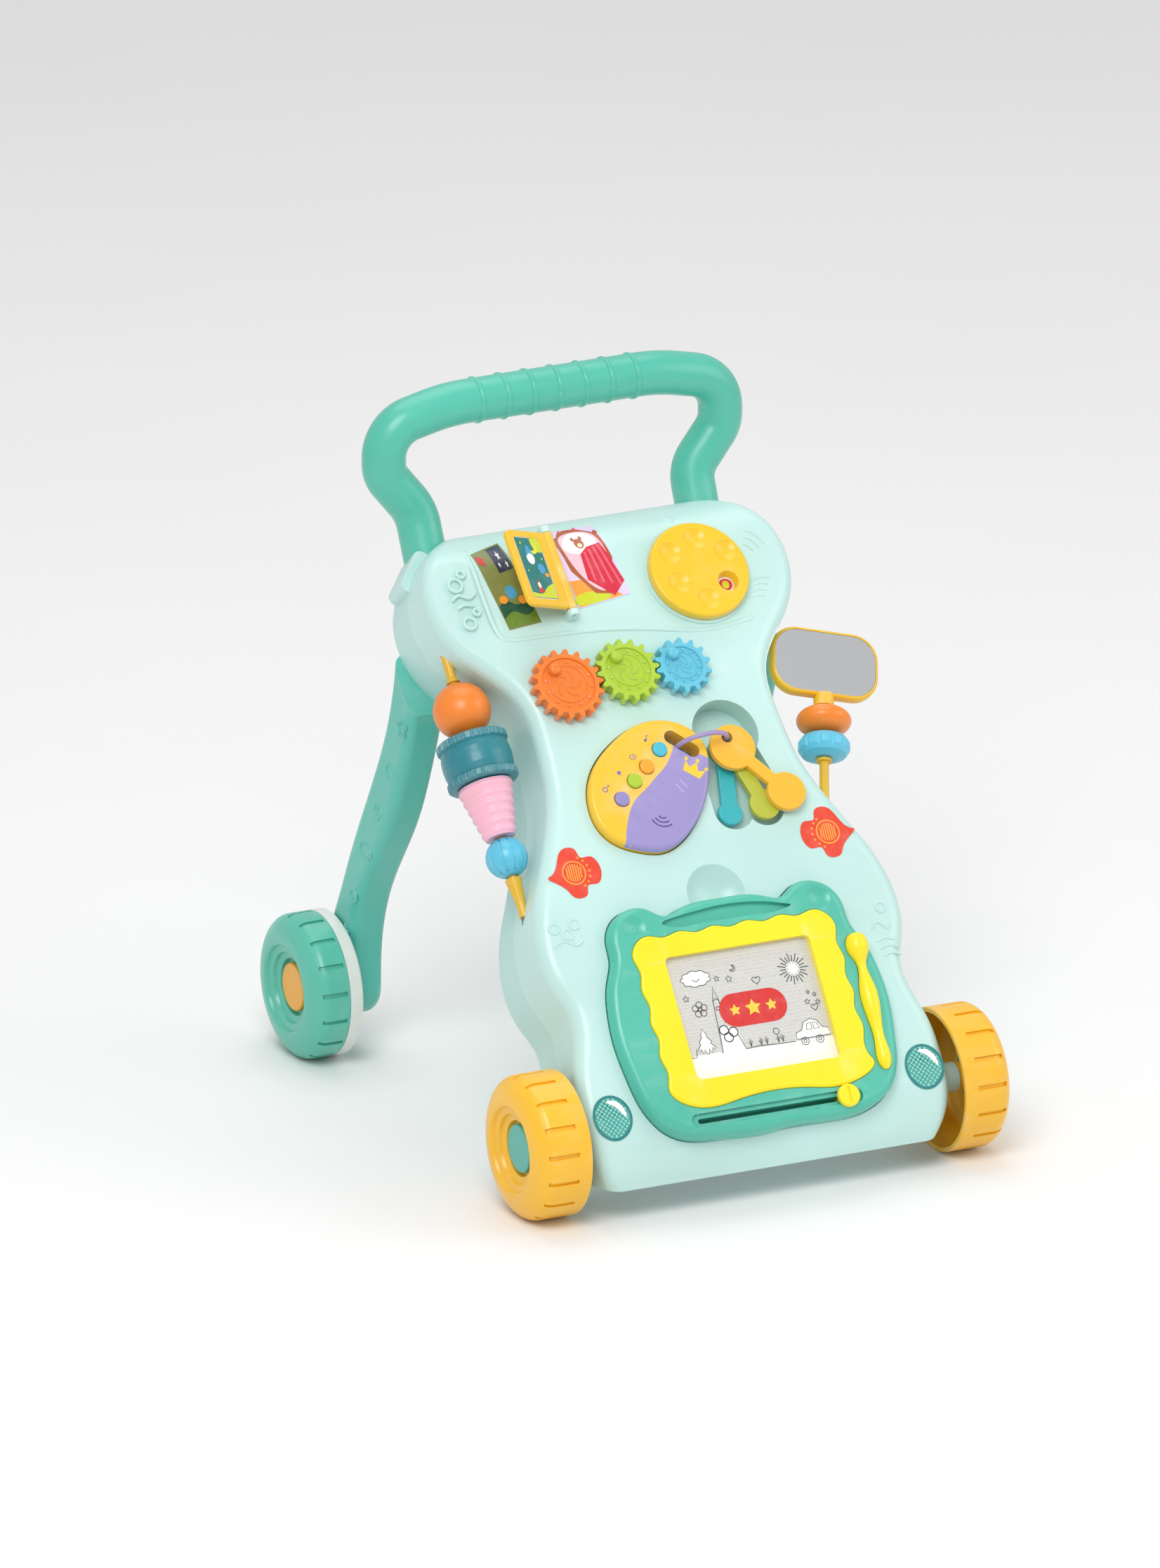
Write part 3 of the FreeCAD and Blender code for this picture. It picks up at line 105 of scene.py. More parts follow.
class Nodes:
    """Small helper for one material's node tree."""

    def __init__(self, name):
        self.material = bpy.data.materials.new(name)
        self.material.use_nodes = True
        self.tree = self.material.node_tree
        self.shader = self.tree.nodes["Principled BSDF"]
        self.coord = self.tree.nodes.new("ShaderNodeTexCoord").outputs["Object"]

    def add(self, kind, **values):
        node = self.tree.nodes.new(kind)
        for key, value in values.items():
            setattr(node, key, value)
        return node

    def link(self, a, b):
        self.tree.links.new(a, b)

    def noise(self, scale, detail=3.0, rough=0.55, source=None):
        node = self.add("ShaderNodeTexNoise")
        node.inputs["Scale"].default_value = scale
        node.inputs["Detail"].default_value = detail
        node.inputs["Roughness"].default_value = rough
        self.link(source or self.coord, node.inputs["Vector"])
        return node.outputs["Fac"]

    def spread(self, value, low, high, start=0.0, end=1.0):
        node = self.add("ShaderNodeMapRange")
        for socket, number in (("From Min", start), ("From Max", end), ("To Min", low),
                               ("To Max", high)):
            node.inputs[socket].default_value = number
        self.link(value, node.inputs["Value"])
        return node.outputs["Result"]

    def mix(self, factor, a, b):
        node = self.add("ShaderNodeMix", data_type="RGBA")
        for socket, value in ((0, factor), (6, a), (7, b)):
            if isinstance(value, (tuple, float)):
                node.inputs[socket].default_value = (*value, 1) if socket else value
            else:
                self.link(value, node.inputs[socket])
        return node.outputs[2]

    def math(self, kind, a, b):
        node = self.add("ShaderNodeMath", operation=kind)
        for socket, value in enumerate((a, b)):
            if isinstance(value, float):
                node.inputs[socket].default_value = value
            else:
                self.link(value, node.inputs[socket])
        return node.outputs[0]

    def bump(self, height, strength, distance):
        node = self.add("ShaderNodeBump")
        node.inputs["Strength"].default_value = strength
        node.inputs["Distance"].default_value = distance
        self.link(height, node.inputs["Height"])
        self.link(node.outputs["Normal"], self.shader.inputs["Normal"])

    def set(self, **values):
        for key, value in values.items():
            socket = self.shader.inputs[key.replace("_", " ")]
            socket.default_value = value


def shade(colour, amount):
    return tuple(min(1.0, c * amount) for c in colour)


def towards_white(colour, amount):
    return tuple(c + (1 - c) * amount for c in colour)


def plastic(name, colour):
    """Moulded plastic: slight colour drift, varied satin gloss, flow ripples, paler sharp edges (partly
    rubbed wear, partly a painted edge highlight).
    """
    n = Nodes(name)
    drift = n.spread(n.noise(9.0, 2.0), 0.0, 1.0, 0.35, 0.65)
    base = n.mix(drift, shade(colour, 0.95), shade(colour, 1.03))
    specks = n.spread(n.noise(420.0, 2.0), 0.0, 0.06, 0.58, 0.75)
    base = n.mix(specks, base, towards_white(colour, 0.35))
    # Paler sharp convex edges from pointiness: partly rubbed wear, partly a painted edge highlight.
    edge = n.spread(n.add("ShaderNodeNewGeometry").outputs["Pointiness"], 0.0, 0.55,
                    0.53, 0.62)
    wear_and_edge_highlight = n.math("MULTIPLY", edge, n.spread(n.noise(60.0, 4.0), 0.15, 1.0, 0.42, 0.6))
    base = n.mix(wear_and_edge_highlight, base, towards_white(colour, 0.3))
    n.link(base, n.shader.inputs["Base Color"])
    gloss = n.spread(n.noise(26.0, 5.0, 0.65), PLASTIC_ROUGH - 0.06, PLASTIC_ROUGH + 0.1,
                     0.35, 0.7)
    n.link(gloss, n.shader.inputs["Roughness"])
    ripple = n.math("ADD", n.noise(70.0, 2.0), n.math("MULTIPLY", n.noise(1500.0, 2.0), 0.12))
    n.bump(ripple, 0.12, 0.0006)
    n.set(Coat_Weight=0.25, Coat_Roughness=0.18, Specular_IOR_Level=0.5)
    return n.material


def printed(name, colour):
    """Printed film: fine ink grain under a thin clear laminate."""
    n = Nodes(name)
    grain = n.spread(n.noise(2600.0, 2.0), 0.0, 1.0, 0.35, 0.65)
    base = n.mix(grain, shade(colour, 0.93), shade(colour, 1.05))
    wash = n.spread(n.noise(160.0, 3.0), 0.0, 0.22, 0.45, 0.75)
    base = n.mix(wash, base, towards_white(colour, 0.2))
    n.link(base, n.shader.inputs["Base Color"])
    gloss = n.spread(n.noise(240.0, 3.0), PRINT_ROUGH - 0.05, PRINT_ROUGH + 0.1)
    n.link(gloss, n.shader.inputs["Roughness"])
    n.bump(n.noise(900.0, 2.0), 0.05, 0.0002)
    n.set(Coat_Weight=0.4, Coat_Roughness=0.12)
    return n.material


def steel(name):
    n = Nodes(name)
    stretch = n.add("ShaderNodeMapping")
    stretch.inputs["Scale"].default_value = (30, 900, 900)
    n.link(n.coord, stretch.inputs["Vector"])
    grain = n.noise(1.0, 3.0, 0.6, stretch.outputs["Vector"])
    n.link(n.mix(grain, (0.42, 0.43, 0.45), (0.72, 0.73, 0.75)), n.shader.inputs["Base Color"])
    n.link(n.spread(grain, 0.22, 0.42), n.shader.inputs["Roughness"])
    n.bump(grain, 0.15, 0.0002)
    n.set(Metallic=1.0)
    return n.material


def mirror_foil(name):
    """Flexible acrylic mirror: nearly clean, with a slow wave and hairline marks."""
    n = Nodes(name)
    n.link(n.mix(n.noise(12.0), (0.86, 0.87, 0.89), (0.93, 0.94, 0.95)),
           n.shader.inputs["Base Color"])
    marks = n.spread(n.noise(700.0, 6.0, 0.7), 0.03, 0.16, 0.5, 0.8)
    n.link(marks, n.shader.inputs["Roughness"])
    n.bump(n.noise(28.0, 1.0), 0.25, 0.0012)
    n.set(Metallic=1.0)
    return n.material


def drawing_film(name):
    """Magnetic drawing film: pale grey with a fine honeycomb under clear plastic."""
    n = Nodes(name)
    cells = n.add("ShaderNodeTexVoronoi", feature="DISTANCE_TO_EDGE")
    cells.inputs["Scale"].default_value = 720.0
    cells.inputs["Randomness"].default_value = 0.35
    n.link(n.coord, cells.inputs["Vector"])
    wall = n.spread(cells.outputs["Distance"], 1.0, 0.0, 0.03, 0.16)
    base = n.mix(wall, rgb(216, 215, 210), rgb(198, 197, 193))
    base = n.mix(n.spread(n.noise(900.0, 3.0), 0.0, 0.3, 0.5, 0.7), base, rgb(182, 182, 179))
    n.link(base, n.shader.inputs["Base Color"])
    n.link(n.spread(n.noise(90.0), 0.28, 0.42), n.shader.inputs["Roughness"])
    n.bump(wall, 0.1, 0.0002)
    n.set(Coat_Weight=0.5, Coat_Roughness=0.1)
    return n.material


COLOURS = {
    "mint": rgb(193, 228, 222), "mint_back": rgb(184, 221, 215), "teal": rgb(80, 186, 164),
    "teal_leg": rgb(84, 187, 172), "wheel_teal": rgb(88, 188, 166),
    "off_white": rgb(222, 226, 220), "wheel_yellow": rgb(244, 187, 38),
    "cap_orange": rgb(240, 168, 22), "cap_teal": rgb(70, 176, 163),
    "gear_orange": rgb(238, 126, 38), "gear_green": rgb(172, 204, 52),
    "gear_blue": rgb(98, 192, 216), "dial_yellow": rgb(240, 196, 34),
    "white_clip": rgb(228, 228, 222), "fob_yellow": rgb(243, 194, 44),
    "fob_purple": rgb(155, 143, 200), "button_blue": rgb(74, 188, 210),
    "button_orange": rgb(244, 166, 44), "button_green": rgb(172, 204, 52),
    "button_purple": rgb(150, 138, 196), "ring_purple": rgb(163, 145, 190),
    "key_orange": rgb(246, 184, 48), "key_lime": rgb(184, 190, 58), "key_teal": rgb(52, 178, 186),
    "bead_orange": rgb(242, 132, 36), "bead_teal": rgb(34, 128, 140),
    "bead_pink": rgb(250, 186, 206), "bead_blue": rgb(92, 192, 222),
    "rod_yellow": rgb(228, 180, 40), "mirror_yellow": rgb(240, 190, 36),
    "tray_teal": rgb(78, 186, 164), "board_yellow": rgb(252, 228, 16),
    "print": rgb(228, 214, 232), "sticker_red": rgb(230, 64, 36),
    "sticker_teal": rgb(150, 214, 206), "circuit": rgb(24, 88, 44),
}
SPECIAL = {"steel": steel, "mirror_silver": mirror_foil, "screen": drawing_film}
PRINTED = ("print", "sticker_red", "sticker_teal", "circuit")
materials = {}


def material(slot):
    if slot not in materials:
        if slot in SPECIAL:
            materials[slot] = SPECIAL[slot](slot)
        elif slot in PRINTED:
            materials[slot] = printed(slot, COLOURS[slot])
        else:
            materials[slot] = plastic(slot, COLOURS[slot])
    return materials[slot]


def ink(name, colour):
    if name not in materials:
        materials[name] = printed(name, colour)
    return materials[name]


def dress_frame():
    for part in frame["record"]["subparts"]:
        node = NODES[part["node"]]
        node.data.materials.clear()
        node.data.materials.append(material(part["material_slot"]))


# ---- flat shapes: lists of (x, y) in millimetres ----
CLOUD_BUMPS = 9


def circle(x, y, r, count=32, ry=None):
    ry = r if ry is None else ry
    turns = [2 * math.pi * i / count for i in range(count)]
    return [(x + r * math.cos(a), y + ry * math.sin(a)) for a in turns]


def star(x, y, r, inner=0.45, points=5):
    rows = []
    for i in range(2 * points):
        reach = r if i % 2 == 0 else r * inner
        angle = math.pi / 2 + math.pi * i / points
        rows.append((x + reach * math.cos(angle), y + reach * math.sin(angle)))
    return rows


def heart(x, y, r):
    rows = []
    for i in range(24):
        t = 2 * math.pi * i / 24
        hx = 16 * math.sin(t) ** 3
        hy = 13 * math.cos(t) - 5 * math.cos(2 * t) - 2 * math.cos(3 * t) - math.cos(4 * t)
        rows.append((x + r * hx / 16, y + r * hy / 16))
    return rows[::-1]


def smooth(points, steps=5, closed=True):
    """Catmull-Rom curve through the points."""
    count = len(points)
    rows = []
    for i in range(count if closed else count - 1):
        if closed:
            p = [points[(i + k - 1) % count] for k in range(4)]
        else:
            p = [points[min(max(i + k - 1, 0), count - 1)] for k in range(4)]
        for j in range(steps):
            t = j / steps
            rows.append(tuple(
                0.5 * (2 * p[1][c] + (p[2][c] - p[0][c]) * t
                       + (2 * p[0][c] - 5 * p[1][c] + 4 * p[2][c] - p[3][c]) * t * t
                       + (3 * p[1][c] - p[0][c] - 3 * p[2][c] + p[3][c]) * t ** 3)
                for c in (0, 1)))
    return rows if closed else rows + [points[-1]]


def pill(x, y, half, r, count=10):
    right = [(x + half + r * math.sin(a), y + r * math.cos(a))
             for a in [math.pi * i / count for i in range(count + 1)]]
    left = [(2 * x - px, 2 * y - py) for px, py in right]
    return (right + left)[::-1]


def scaled(points, k, x=0.0, y=0.0, turn=0.0):
    c, s = math.cos(turn), math.sin(turn)
    return [(x + k * (c * px - s * py), y + k * (s * px + c * py)) for px, py in points]


def cloud(x, y, w, h):
    rows = []
    for i in range(CLOUD_BUMPS * 5):
        a = 2 * math.pi * i / (CLOUD_BUMPS * 5)
        lobe = 1 + 0.16 * abs(math.sin(CLOUD_BUMPS * a / 2))
        rows.append((x + w * lobe * math.cos(a), y + h * lobe * math.sin(a)))
    return rows


# ---- pieces made from flat shapes ----
BEAD_END_TAPER = 0.35


class Drawing:
    """One mesh in one colour, built from raised areas and raised lines on a surface."""

    def __init__(self, name, paint, body, to_world, slot):
        self.name, self.paint, self.body = name, paint, body
        self.to_world, self.slot = to_world, slot
        self.mesh = bmesh.new()

    def area(self, outline, low, high, cell=6.0):
        """Filled outline between two heights, cut into cells so that it can follow a curve."""
        part = bmesh.new()
        top = part.faces.new([part.verts.new((x, y, high)) for x, y in outline])
        if area_sign(outline) < 0:
            top.normal_flip()
        ys = [y for _, y in outline]
        cut = math.ceil((min(ys) + 0.01) / cell) * cell
        while cut < max(ys) - 0.01:
            geom = part.verts[:] + part.edges[:] + part.faces[:]
            bmesh.ops.bisect_plane(part, geom=geom, dist=1e-5, plane_co=(0, cut, 0),
                                   plane_no=(0, 1, 0))
            cut += cell
        result = bmesh.ops.extrude_face_region(part, geom=part.faces[:])
        lower = [v for v in result["geom"] if isinstance(v, bmesh.types.BMVert)]
        for vert in lower:
            vert.co.z = low
        bmesh.ops.triangulate(part, faces=part.faces[:])
        bmesh.ops.recalc_face_normals(part, faces=part.faces[:])
        self.take(part)

    def line(self, points, width, low, high, closed=False, rounded=False):
        """Raised line along the points: flat-topped, or round like a moulded bead."""
        half = width / 2
        if rounded:
            section = [(-half, low)] + [
                (-half * math.cos(a), low + (high - low) * math.sin(a))
                for a in [math.pi * i / 6 for i in range(1, 6)]] + [(half, low)]
        else:
            section = [(-half, low), (-half, high), (half, high), (half, low)]
        part = bmesh.new()
        rings = []
        count = len(points)
        for i, (x, y) in enumerate(points):
            before = points[i - 1] if closed or i else points[0]
            after = points[(i + 1) % count] if closed or i < count - 1 else points[-1]
            run = Vector((after[0] - before[0], after[1] - before[1]))
            run = run.normalized() if run.length > 1e-9 else Vector((1, 0))
            taper = 1.0
            if rounded and not closed and i in (0, count - 1):
                taper = BEAD_END_TAPER
            rings.append([part.verts.new((x - run.y * offset * taper, y + run.x * offset * taper,
                                          low + (height - low) * taper))
                          for offset, height in section])
        pairs = list(zip(rings, rings[1:])) + ([(rings[-1], rings[0])] if closed else [])
        for a, b in pairs:
            for j in range(len(section)):
                k = (j + 1) % len(section)
                part.faces.new((a[j], a[k], b[k], b[j]))
        if not closed:
            part.faces.new(rings[0])
            part.faces.new(rings[-1][::-1])
        bmesh.ops.recalc_face_normals(part, faces=part.faces[:])
        self.take(part)

    def take(self, part):
        mesh = bpy.data.meshes.new("part")
        part.to_mesh(mesh)
        part.free()
        self.mesh.from_mesh(mesh)
        bpy.data.meshes.remove(mesh)

    def done(self, smooth_angle=None):
        for vert in self.mesh.verts:
            vert.co = self.to_world(*vert.co)
        return finish_piece(self.name, self.mesh, self.paint, self.body, smooth_angle)


def area_sign(outline):
    return sum(a[0] * b[1] - b[0] * a[1] for a, b in zip(outline, outline[1:] + outline[:1]))


def finish_piece(name, mesh, paint, body, smooth_angle=None):
    data = bpy.data.meshes.new(name)
    mesh.to_mesh(data)
    mesh.free()
    piece = bpy.data.objects.new(name, data)
    bpy.context.scene.collection.objects.link(piece)
    data.materials.append(paint)
    if smooth_angle is not None:
        data.shade_smooth()
        data.set_sharp_from_angle(angle=math.radians(smooth_angle))
    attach(piece, body)
    return piece


INKS = {
    "white": rgb(246, 246, 242), "cream": rgb(250, 236, 196), "black": rgb(58, 58, 62),
    "navy": rgb(26, 38, 78), "night": rgb(10, 118, 112),
    "sky": rgb(64, 158, 206), "moon": rgb(228, 224, 40), "grass": rgb(206, 214, 32),
    "leaf": rgb(106, 138, 52), "olive": rgb(126, 132, 70), "forest": rgb(12, 84, 66),
    "red": rgb(214, 42, 38), "rose": rgb(230, 96, 108), "pink": rgb(250, 196, 210),
    "brown": rgb(176, 88, 44), "orange": rgb(246, 158, 52), "yellow": rgb(250, 208, 60),
    "lavender": rgb(224, 208, 236), "teal": rgb(16, 128, 128), "mesh": rgb(66, 164, 154),
    "violet": rgb(120, 104, 176), "lilac": rgb(190, 180, 226), "plum": rgb(88, 72, 132),
    "blanket": rgb(212, 32, 62),
}


def drawing(name, colour, body, to_world, slot):
    return Drawing(name, ink("ink_" + colour, INKS[colour]), body, to_world, slot)


LINE_STEP = 1.5
PRINT_SINK = 0.02


def finely(points):
    """The same open line with points no further apart than LINE_STEP."""
    rows = points[:1]
    for a, b in zip(points, points[1:]):
        count = max(1, math.ceil(math.dist(a, b) / LINE_STEP))
        rows += [(a[0] + (b[0] - a[0]) * i / count, a[1] + (b[1] - a[1]) * i / count)
                 for i in range(1, count + 1)]
    return rows


def picture(prefix, body, to_world, slot, base, step, layers, cell=6.0):
    """Stack of printed layers: (name, colour, areas, lines) from the bottom up."""
    for level, (name, colour, areas, lines) in enumerate(layers):
        low = base - PRINT_SINK
        high = base + step * (level + 1)
        piece = drawing(f"{prefix}_{name}", colour, body, to_world, slot)
        for outline in areas:
            piece.area(outline, low, high, cell)
        for points, width, closed in lines:
            piece.line(finely(points), width, low, high, closed)
        piece.done()


# ---- pictures on the book ----
BOOK_SKIN_LIFT = 0.4
PRINT_STEP = 0.03
SKIN_CELL = 1.0


def local_to(corners):
    """Bilinear place on a four-cornered print: (0, 0) lower left to (1, 1) upper right."""
    (ax, ay), (bx, by), (cx, cy), (dx, dy) = corners

    def place(p, q):
        low = (dx + (cx - dx) * p, dy + (cy - dy) * p)
        high = (ax + (bx - ax) * p, ay + (by - ay) * p)
        return (low[0] + (high[0] - low[0]) * q, low[1] + (high[1] - low[1]) * q)
    return lambda points: [place(p, q) for p, q in points]


PRINT_LEFT = [(-86, 382), (-64, 388), (-56, 328), (-79, 326)]
PRINT_RIGHT = [(-31, 390), (3, 391), (9, 338), (-28, 333)]


def add_book_prints():
    left = local_to(PRINT_LEFT)
    window = [(0.5, 0.66), (0.95, 0.66), (0.95, 0.98), (0.5, 0.98)]
    hill = [(0.03, 0.02)] + smooth([(0.03, 0.3), (0.3, 0.34), (0.6, 0.26), (0.97, 0.33)], 4,
                                   False) + [(0.97, 0.02)]
    path = smooth([(0.03, 0.14), (0.35, 0.2), (0.7, 0.12), (0.97, 0.16)], 4, False)
    path = path + [(0.97, 0.02), (0.03, 0.02)]
    layers = [
        ("ground", "olive", [left([(0.0, 0.0), (1.0, 0.0), (1.0, 1.0), (0.0, 1.0)])], []),
        ("hill", "forest", [left(hill)], []),
        ("window", "navy", [left(window)], []),
        ("path", "leaf", [left(path)], []),
        ("stars", "white", [left(star(0.72, 0.86, 0.07, 0.4)), left(star(0.62, 0.75, 0.04, 0.4)),
                            left(star(0.84, 0.73, 0.05, 0.4))], []),
        ("ball", "sky", [left(circle(0.55, 0.42, 0.16, 20, 0.08))], []),
        ("roof", "red", [left([(0.06, 0.84), (0.24, 0.8), (0.24, 0.9), (0.06, 0.95)])], []),
        ("flower", "orange", [left(circle(0.24, 0.36, 0.12, 14, 0.05)),
                              left(circle(0.78, 0.3, 0.12, 14, 0.05))], []),
    ]
    picture("book_left", "casing", on_skin, "print", BOOK_SKIN_LIFT,
            PRINT_STEP, layers, SKIN_CELL)
    right = local_to(PRINT_RIGHT)
    frame_shape = smooth([(0.16, 0.9), (0.3, 0.98), (0.6, 0.98), (0.86, 0.9)], 5, False)
    bed = [(0.04, 0.88)] + frame_shape + [(0.96, 0.84), (0.98, 0.5), (0.7, 0.06), (0.4, 0.12),
                                          (0.12, 0.45)]
    quilt = [(0.42, 0.62), (0.6, 0.7), (0.88, 0.72), (1.0, 0.18), (0.72, 0.03), (0.36, 0.3)]
    stripe_rows = []
    for k in (0.2, 0.42, 0.64, 0.86):
        start = (0.42 + 0.46 * k, 0.62 + 0.1 * k)
        end = (0.36 + 0.64 * k, 0.3 - 0.18 * k)
        stripe_rows.append((right([start, end]), 1.5, False))
    pillow = smooth([(0.16, 0.72), (0.34, 0.9), (0.7, 0.9), (0.84, 0.74), (0.5, 0.62)], 5)
    layers = [
        ("wall", "lavender", [right([(0, 0), (1, 0), (1, 1), (0, 1)])], []),
        ("floor", "orange", [right([(0.01, 0.01), (0.86, 0.01), (0.5, 0.3), (0.01, 0.34)])], []),
        ("rug", "grass", [right(smooth([(0.01, 0.04), (0.02, 0.14), (0.3, 0.16), (0.62, 0.08),
                                        (0.6, 0.02), (0.3, 0.01)], 4))], []),
        ("frame", "brown", [right(bed)], []),
        ("sheet", "pink", [right(smooth([(0.14, 0.82), (0.3, 0.92), (0.66, 0.93), (0.88, 0.82),
                                         (0.9, 0.5), (0.66, 0.14), (0.42, 0.2), (0.2, 0.5)], 4))],
         []),
        ("pillow", "white", [right(pillow)], []),
        ("quilt", "blanket", [right(quilt)], []),
        ("stripes", "rose", [], stripe_rows),
        ("bear", "brown", [right(circle(0.5, 0.76, 0.09, 20, 0.07)),
                           right(circle(0.42, 0.83, 0.035, 12, 0.028)),
                           right(circle(0.58, 0.83, 0.035, 12, 0.028))], []),
        ("muzzle", "cream", [right(circle(0.5, 0.735, 0.045, 14, 0.03))], []),
        ("posts", "brown", [right(circle(0.06, 0.9, 0.04, 12, 0.03)),
                            right(circle(0.94, 0.88, 0.04, 12, 0.03))], []),
        ("petals", "rose", [right(heart(0.1, 0.96, 0.05)), right(star(0.3, 0.97, 0.035, 0.5)),
                            right(star(0.62, 0.985, 0.03, 0.5))], []),
    ]
    picture("book_right", "casing", on_skin, "print", BOOK_SKIN_LIFT,
            PRINT_STEP, layers, SKIN_CELL)


PAGE_OPEN = math.radians(25)
PAGE_CARD = (-22.5, 0.0, 22.8, 43.8)
PAGE_AT = (-36.5, 357.0, 7.0)
PAGE_FACE, PAGE_STEP = 1.8, 0.02


def add_page_picture():
    place = face_place(*PAGE_AT) @ Matrix.Rotation(PAGE_OPEN, 4, "Y")
    cx, cy, w, h = PAGE_CARD

    def at(p, q):
        return cx + (p - 0.5) * w, cy + (q - 0.5) * h

    def card(points):
        return [at(p, q) for p, q in points]

    crown = smooth([(0.7, 0.8), (0.97, 0.78), (0.97, 0.98), (0.62, 0.98)], 4)
    slope = smooth([(0.03, 0.1), (0.4, 0.08), (0.7, 0.2), (0.97, 0.27)], 4, False)
    rocket = [(0.0, 5.0), (1.6, 2.0), (1.6, -2.6), (3.4, -4.6), (-3.4, -4.6), (-1.6, -2.6),
              (-1.6, 2.0)]
    layers = [
        ("sky", "night", [card([(0.02, 0.01), (0.98, 0.01), (0.98, 0.99), (0.02, 0.99)])], []),
        ("hill", "grass", [card([(0.03, 0.02)] + slope + [(0.97, 0.02)])], []),
        ("tree", "grass", [card(crown)], []),
        ("moon", "moon", [crescent(*at(0.62, 0.83), 4.2)], []),
        ("cloud", "white", [circle(*at(0.42, 0.66), 3.4, 24, 4.4)], []),
        ("cap", "sky", [smooth([at(0.28, 0.7), at(0.4, 0.88), at(0.56, 0.72), at(0.42, 0.74)], 4),
                        circle(*at(0.72, 0.5), 3.0, 20, 3.6)], []),
        ("rocket", "red", [scaled(rocket, 0.95, *at(0.4, 0.2), 0.1)], []),
        ("nose", "white", [circle(*at(0.4, 0.22), 1.2, 16, 2.2)], []),
        ("fox", "orange", [circle(*at(0.86, 0.4), 1.8, 16, 1.5)], []),
        ("stars", "moon", [star(*at(0.2, 0.9), 1.0), star(*at(0.85, 0.66), 0.9),
                           star(*at(0.16, 0.45), 0.8)], []),
    ]
    picture("page", "book_page", flat(place), "print", PAGE_FACE, PAGE_STEP, layers)


def crescent(x, y, r):
    outer = [(x + r * math.cos(a), y + r * math.sin(a))
             for a in [math.radians(-150 + 12 * i) for i in range(21)]]
    inner = [(x - 0.32 * r + 0.8 * r * math.cos(a), y + 0.3 * r + 0.8 * r * math.sin(a))
             for a in [math.radians(80 - 12 * i) for i in range(18)]]
    return outer + inner


# ---- pictures under the dial's window ----
DIAL_AT = (57.0, 344.0)
DIAL_WINDOW = (16, -11)


def add_dial_pictures():
    to_world = flat(face_place(*DIAL_AT))
    reach = math.hypot(*DIAL_WINDOW)
    start = math.atan2(DIAL_WINDOW[1], DIAL_WINDOW[0])
    spots = [(reach * math.cos(start + k * math.pi / 3), reach * math.sin(start + k * math.pi / 3))
             for k in range(6)]
    white = drawing("dial_spots_white", "white", "casing", to_world, "print")
    for x, y in spots:
        white.area(circle(x, y, 7.4), 1.55, 1.64)
    white.done()
    shapes = [("apple", "red", lambda x, y: circle(x, y, 4.6, 24, 4.2)),
              ("leaf", "leaf", lambda x, y: smooth([(x - 4, y - 2), (x, y + 4),
                                                    (x + 4, y - 1)], 6)),
              ("moon", "orange", lambda x, y: crescent(x, y, 4.6)),
              ("star", "yellow", lambda x, y: star(x, y, 5.0)),
              ("heart", "rose", lambda x, y: heart(x, y, 4.6)),
              ("drop", "sky", lambda x, y: smooth([(x, y + 5), (x - 3.4, y - 1), (x, y - 4),
                                                   (x + 3.4, y - 1)], 5))]
    for (x, y), (name, colour, shape) in zip(spots, shapes):
        piece = drawing("dial_" + name, colour, "casing", to_world, "print")
        piece.area(shape(x, y), 1.6, 1.7)
        piece.done()
    leaf = drawing("dial_apple_core", "grass", "casing", to_world, "print")
    leaf.area(circle(*spots[0], 2.4, 16, 2.8), 1.65, 1.76)
    leaf.done()


# ---- stickers ----
STICKER_LOW, STICKER_HIGH = 0.28, 0.42
SPEAKER_AT = (88.0, 160.0)
HEADLIGHT_AT = (108.0, 0.5)
NET_PITCH = 2.3


def add_speaker_prints():
    for side, word in ((-1, "left"), (1, "right")):
        u, s = SPEAKER_AT[0] * side, SPEAKER_AT[1]
        piece = drawing(f"speaker_print_{word}", "orange", "casing", on_skin, "sticker_red")
        piece.line(circle(u, s, 7.6, 36), 1.0, STICKER_LOW, STICKER_HIGH, True)
        for k in range(-3, 4):
            x = 1.55 * k
            reach = math.sqrt(max(0.0, 5.9 ** 2 - x * x))
            wave = [(u + x + 0.25 * math.sin(3 * t), s + reach * t) for t in
                    [-1 + 0.25 * i for i in range(9)]]
            piece.line(wave, 0.9, STICKER_LOW, STICKER_HIGH)
        inward = math.pi if side > 0 else 0.0
        for k in range(-3, 4):
            angle = inward + 0.36 * k
            piece.area(circle(u + 10.6 * math.cos(angle), s + 10.6 * math.sin(angle), 0.85, 12),
                       STICKER_LOW, STICKER_HIGH)
        piece.done()


def add_headlight_prints():
    for side, word in ((-1, "left"), (1, "right")):
        u, s = HEADLIGHT_AT[0] * side, HEADLIGHT_AT[1]
        rim = drawing(f"headlight_rim_{word}", "teal", "casing", on_skin, "sticker_teal")
        rim.line(circle(u, s, 12.3, 48, 13.5), 1.8, STICKER_LOW, 0.44, True)
        rim.done()
        net = drawing(f"headlight_net_{word}", "mesh", "casing", on_skin, "sticker_teal")
        glare = drawing(f"headlight_glare_{word}", "white", "casing", on_skin, "sticker_teal")
        for family in (-1, 1):
            for k in range(-7, 8):
                points = clipped(u, s, 11.6, 12.8, k * NET_PITCH * math.sqrt(2), family)
                if len(points) > 1:
                    net.line(points, 0.95, STICKER_LOW, 0.38)
        net.done()
        glare.area(smooth([(u - 2.0, s + 10.6), (u + 4.5, s + 10.2), (u + 9.0, s + 4.5),
                           (u + 9.4, s - 1.0), (u + 7.2, s + 1.5), (u + 3.5, s + 6.4)], 5),
                   0.3, STICKER_HIGH, 3.0)
        glare.done()


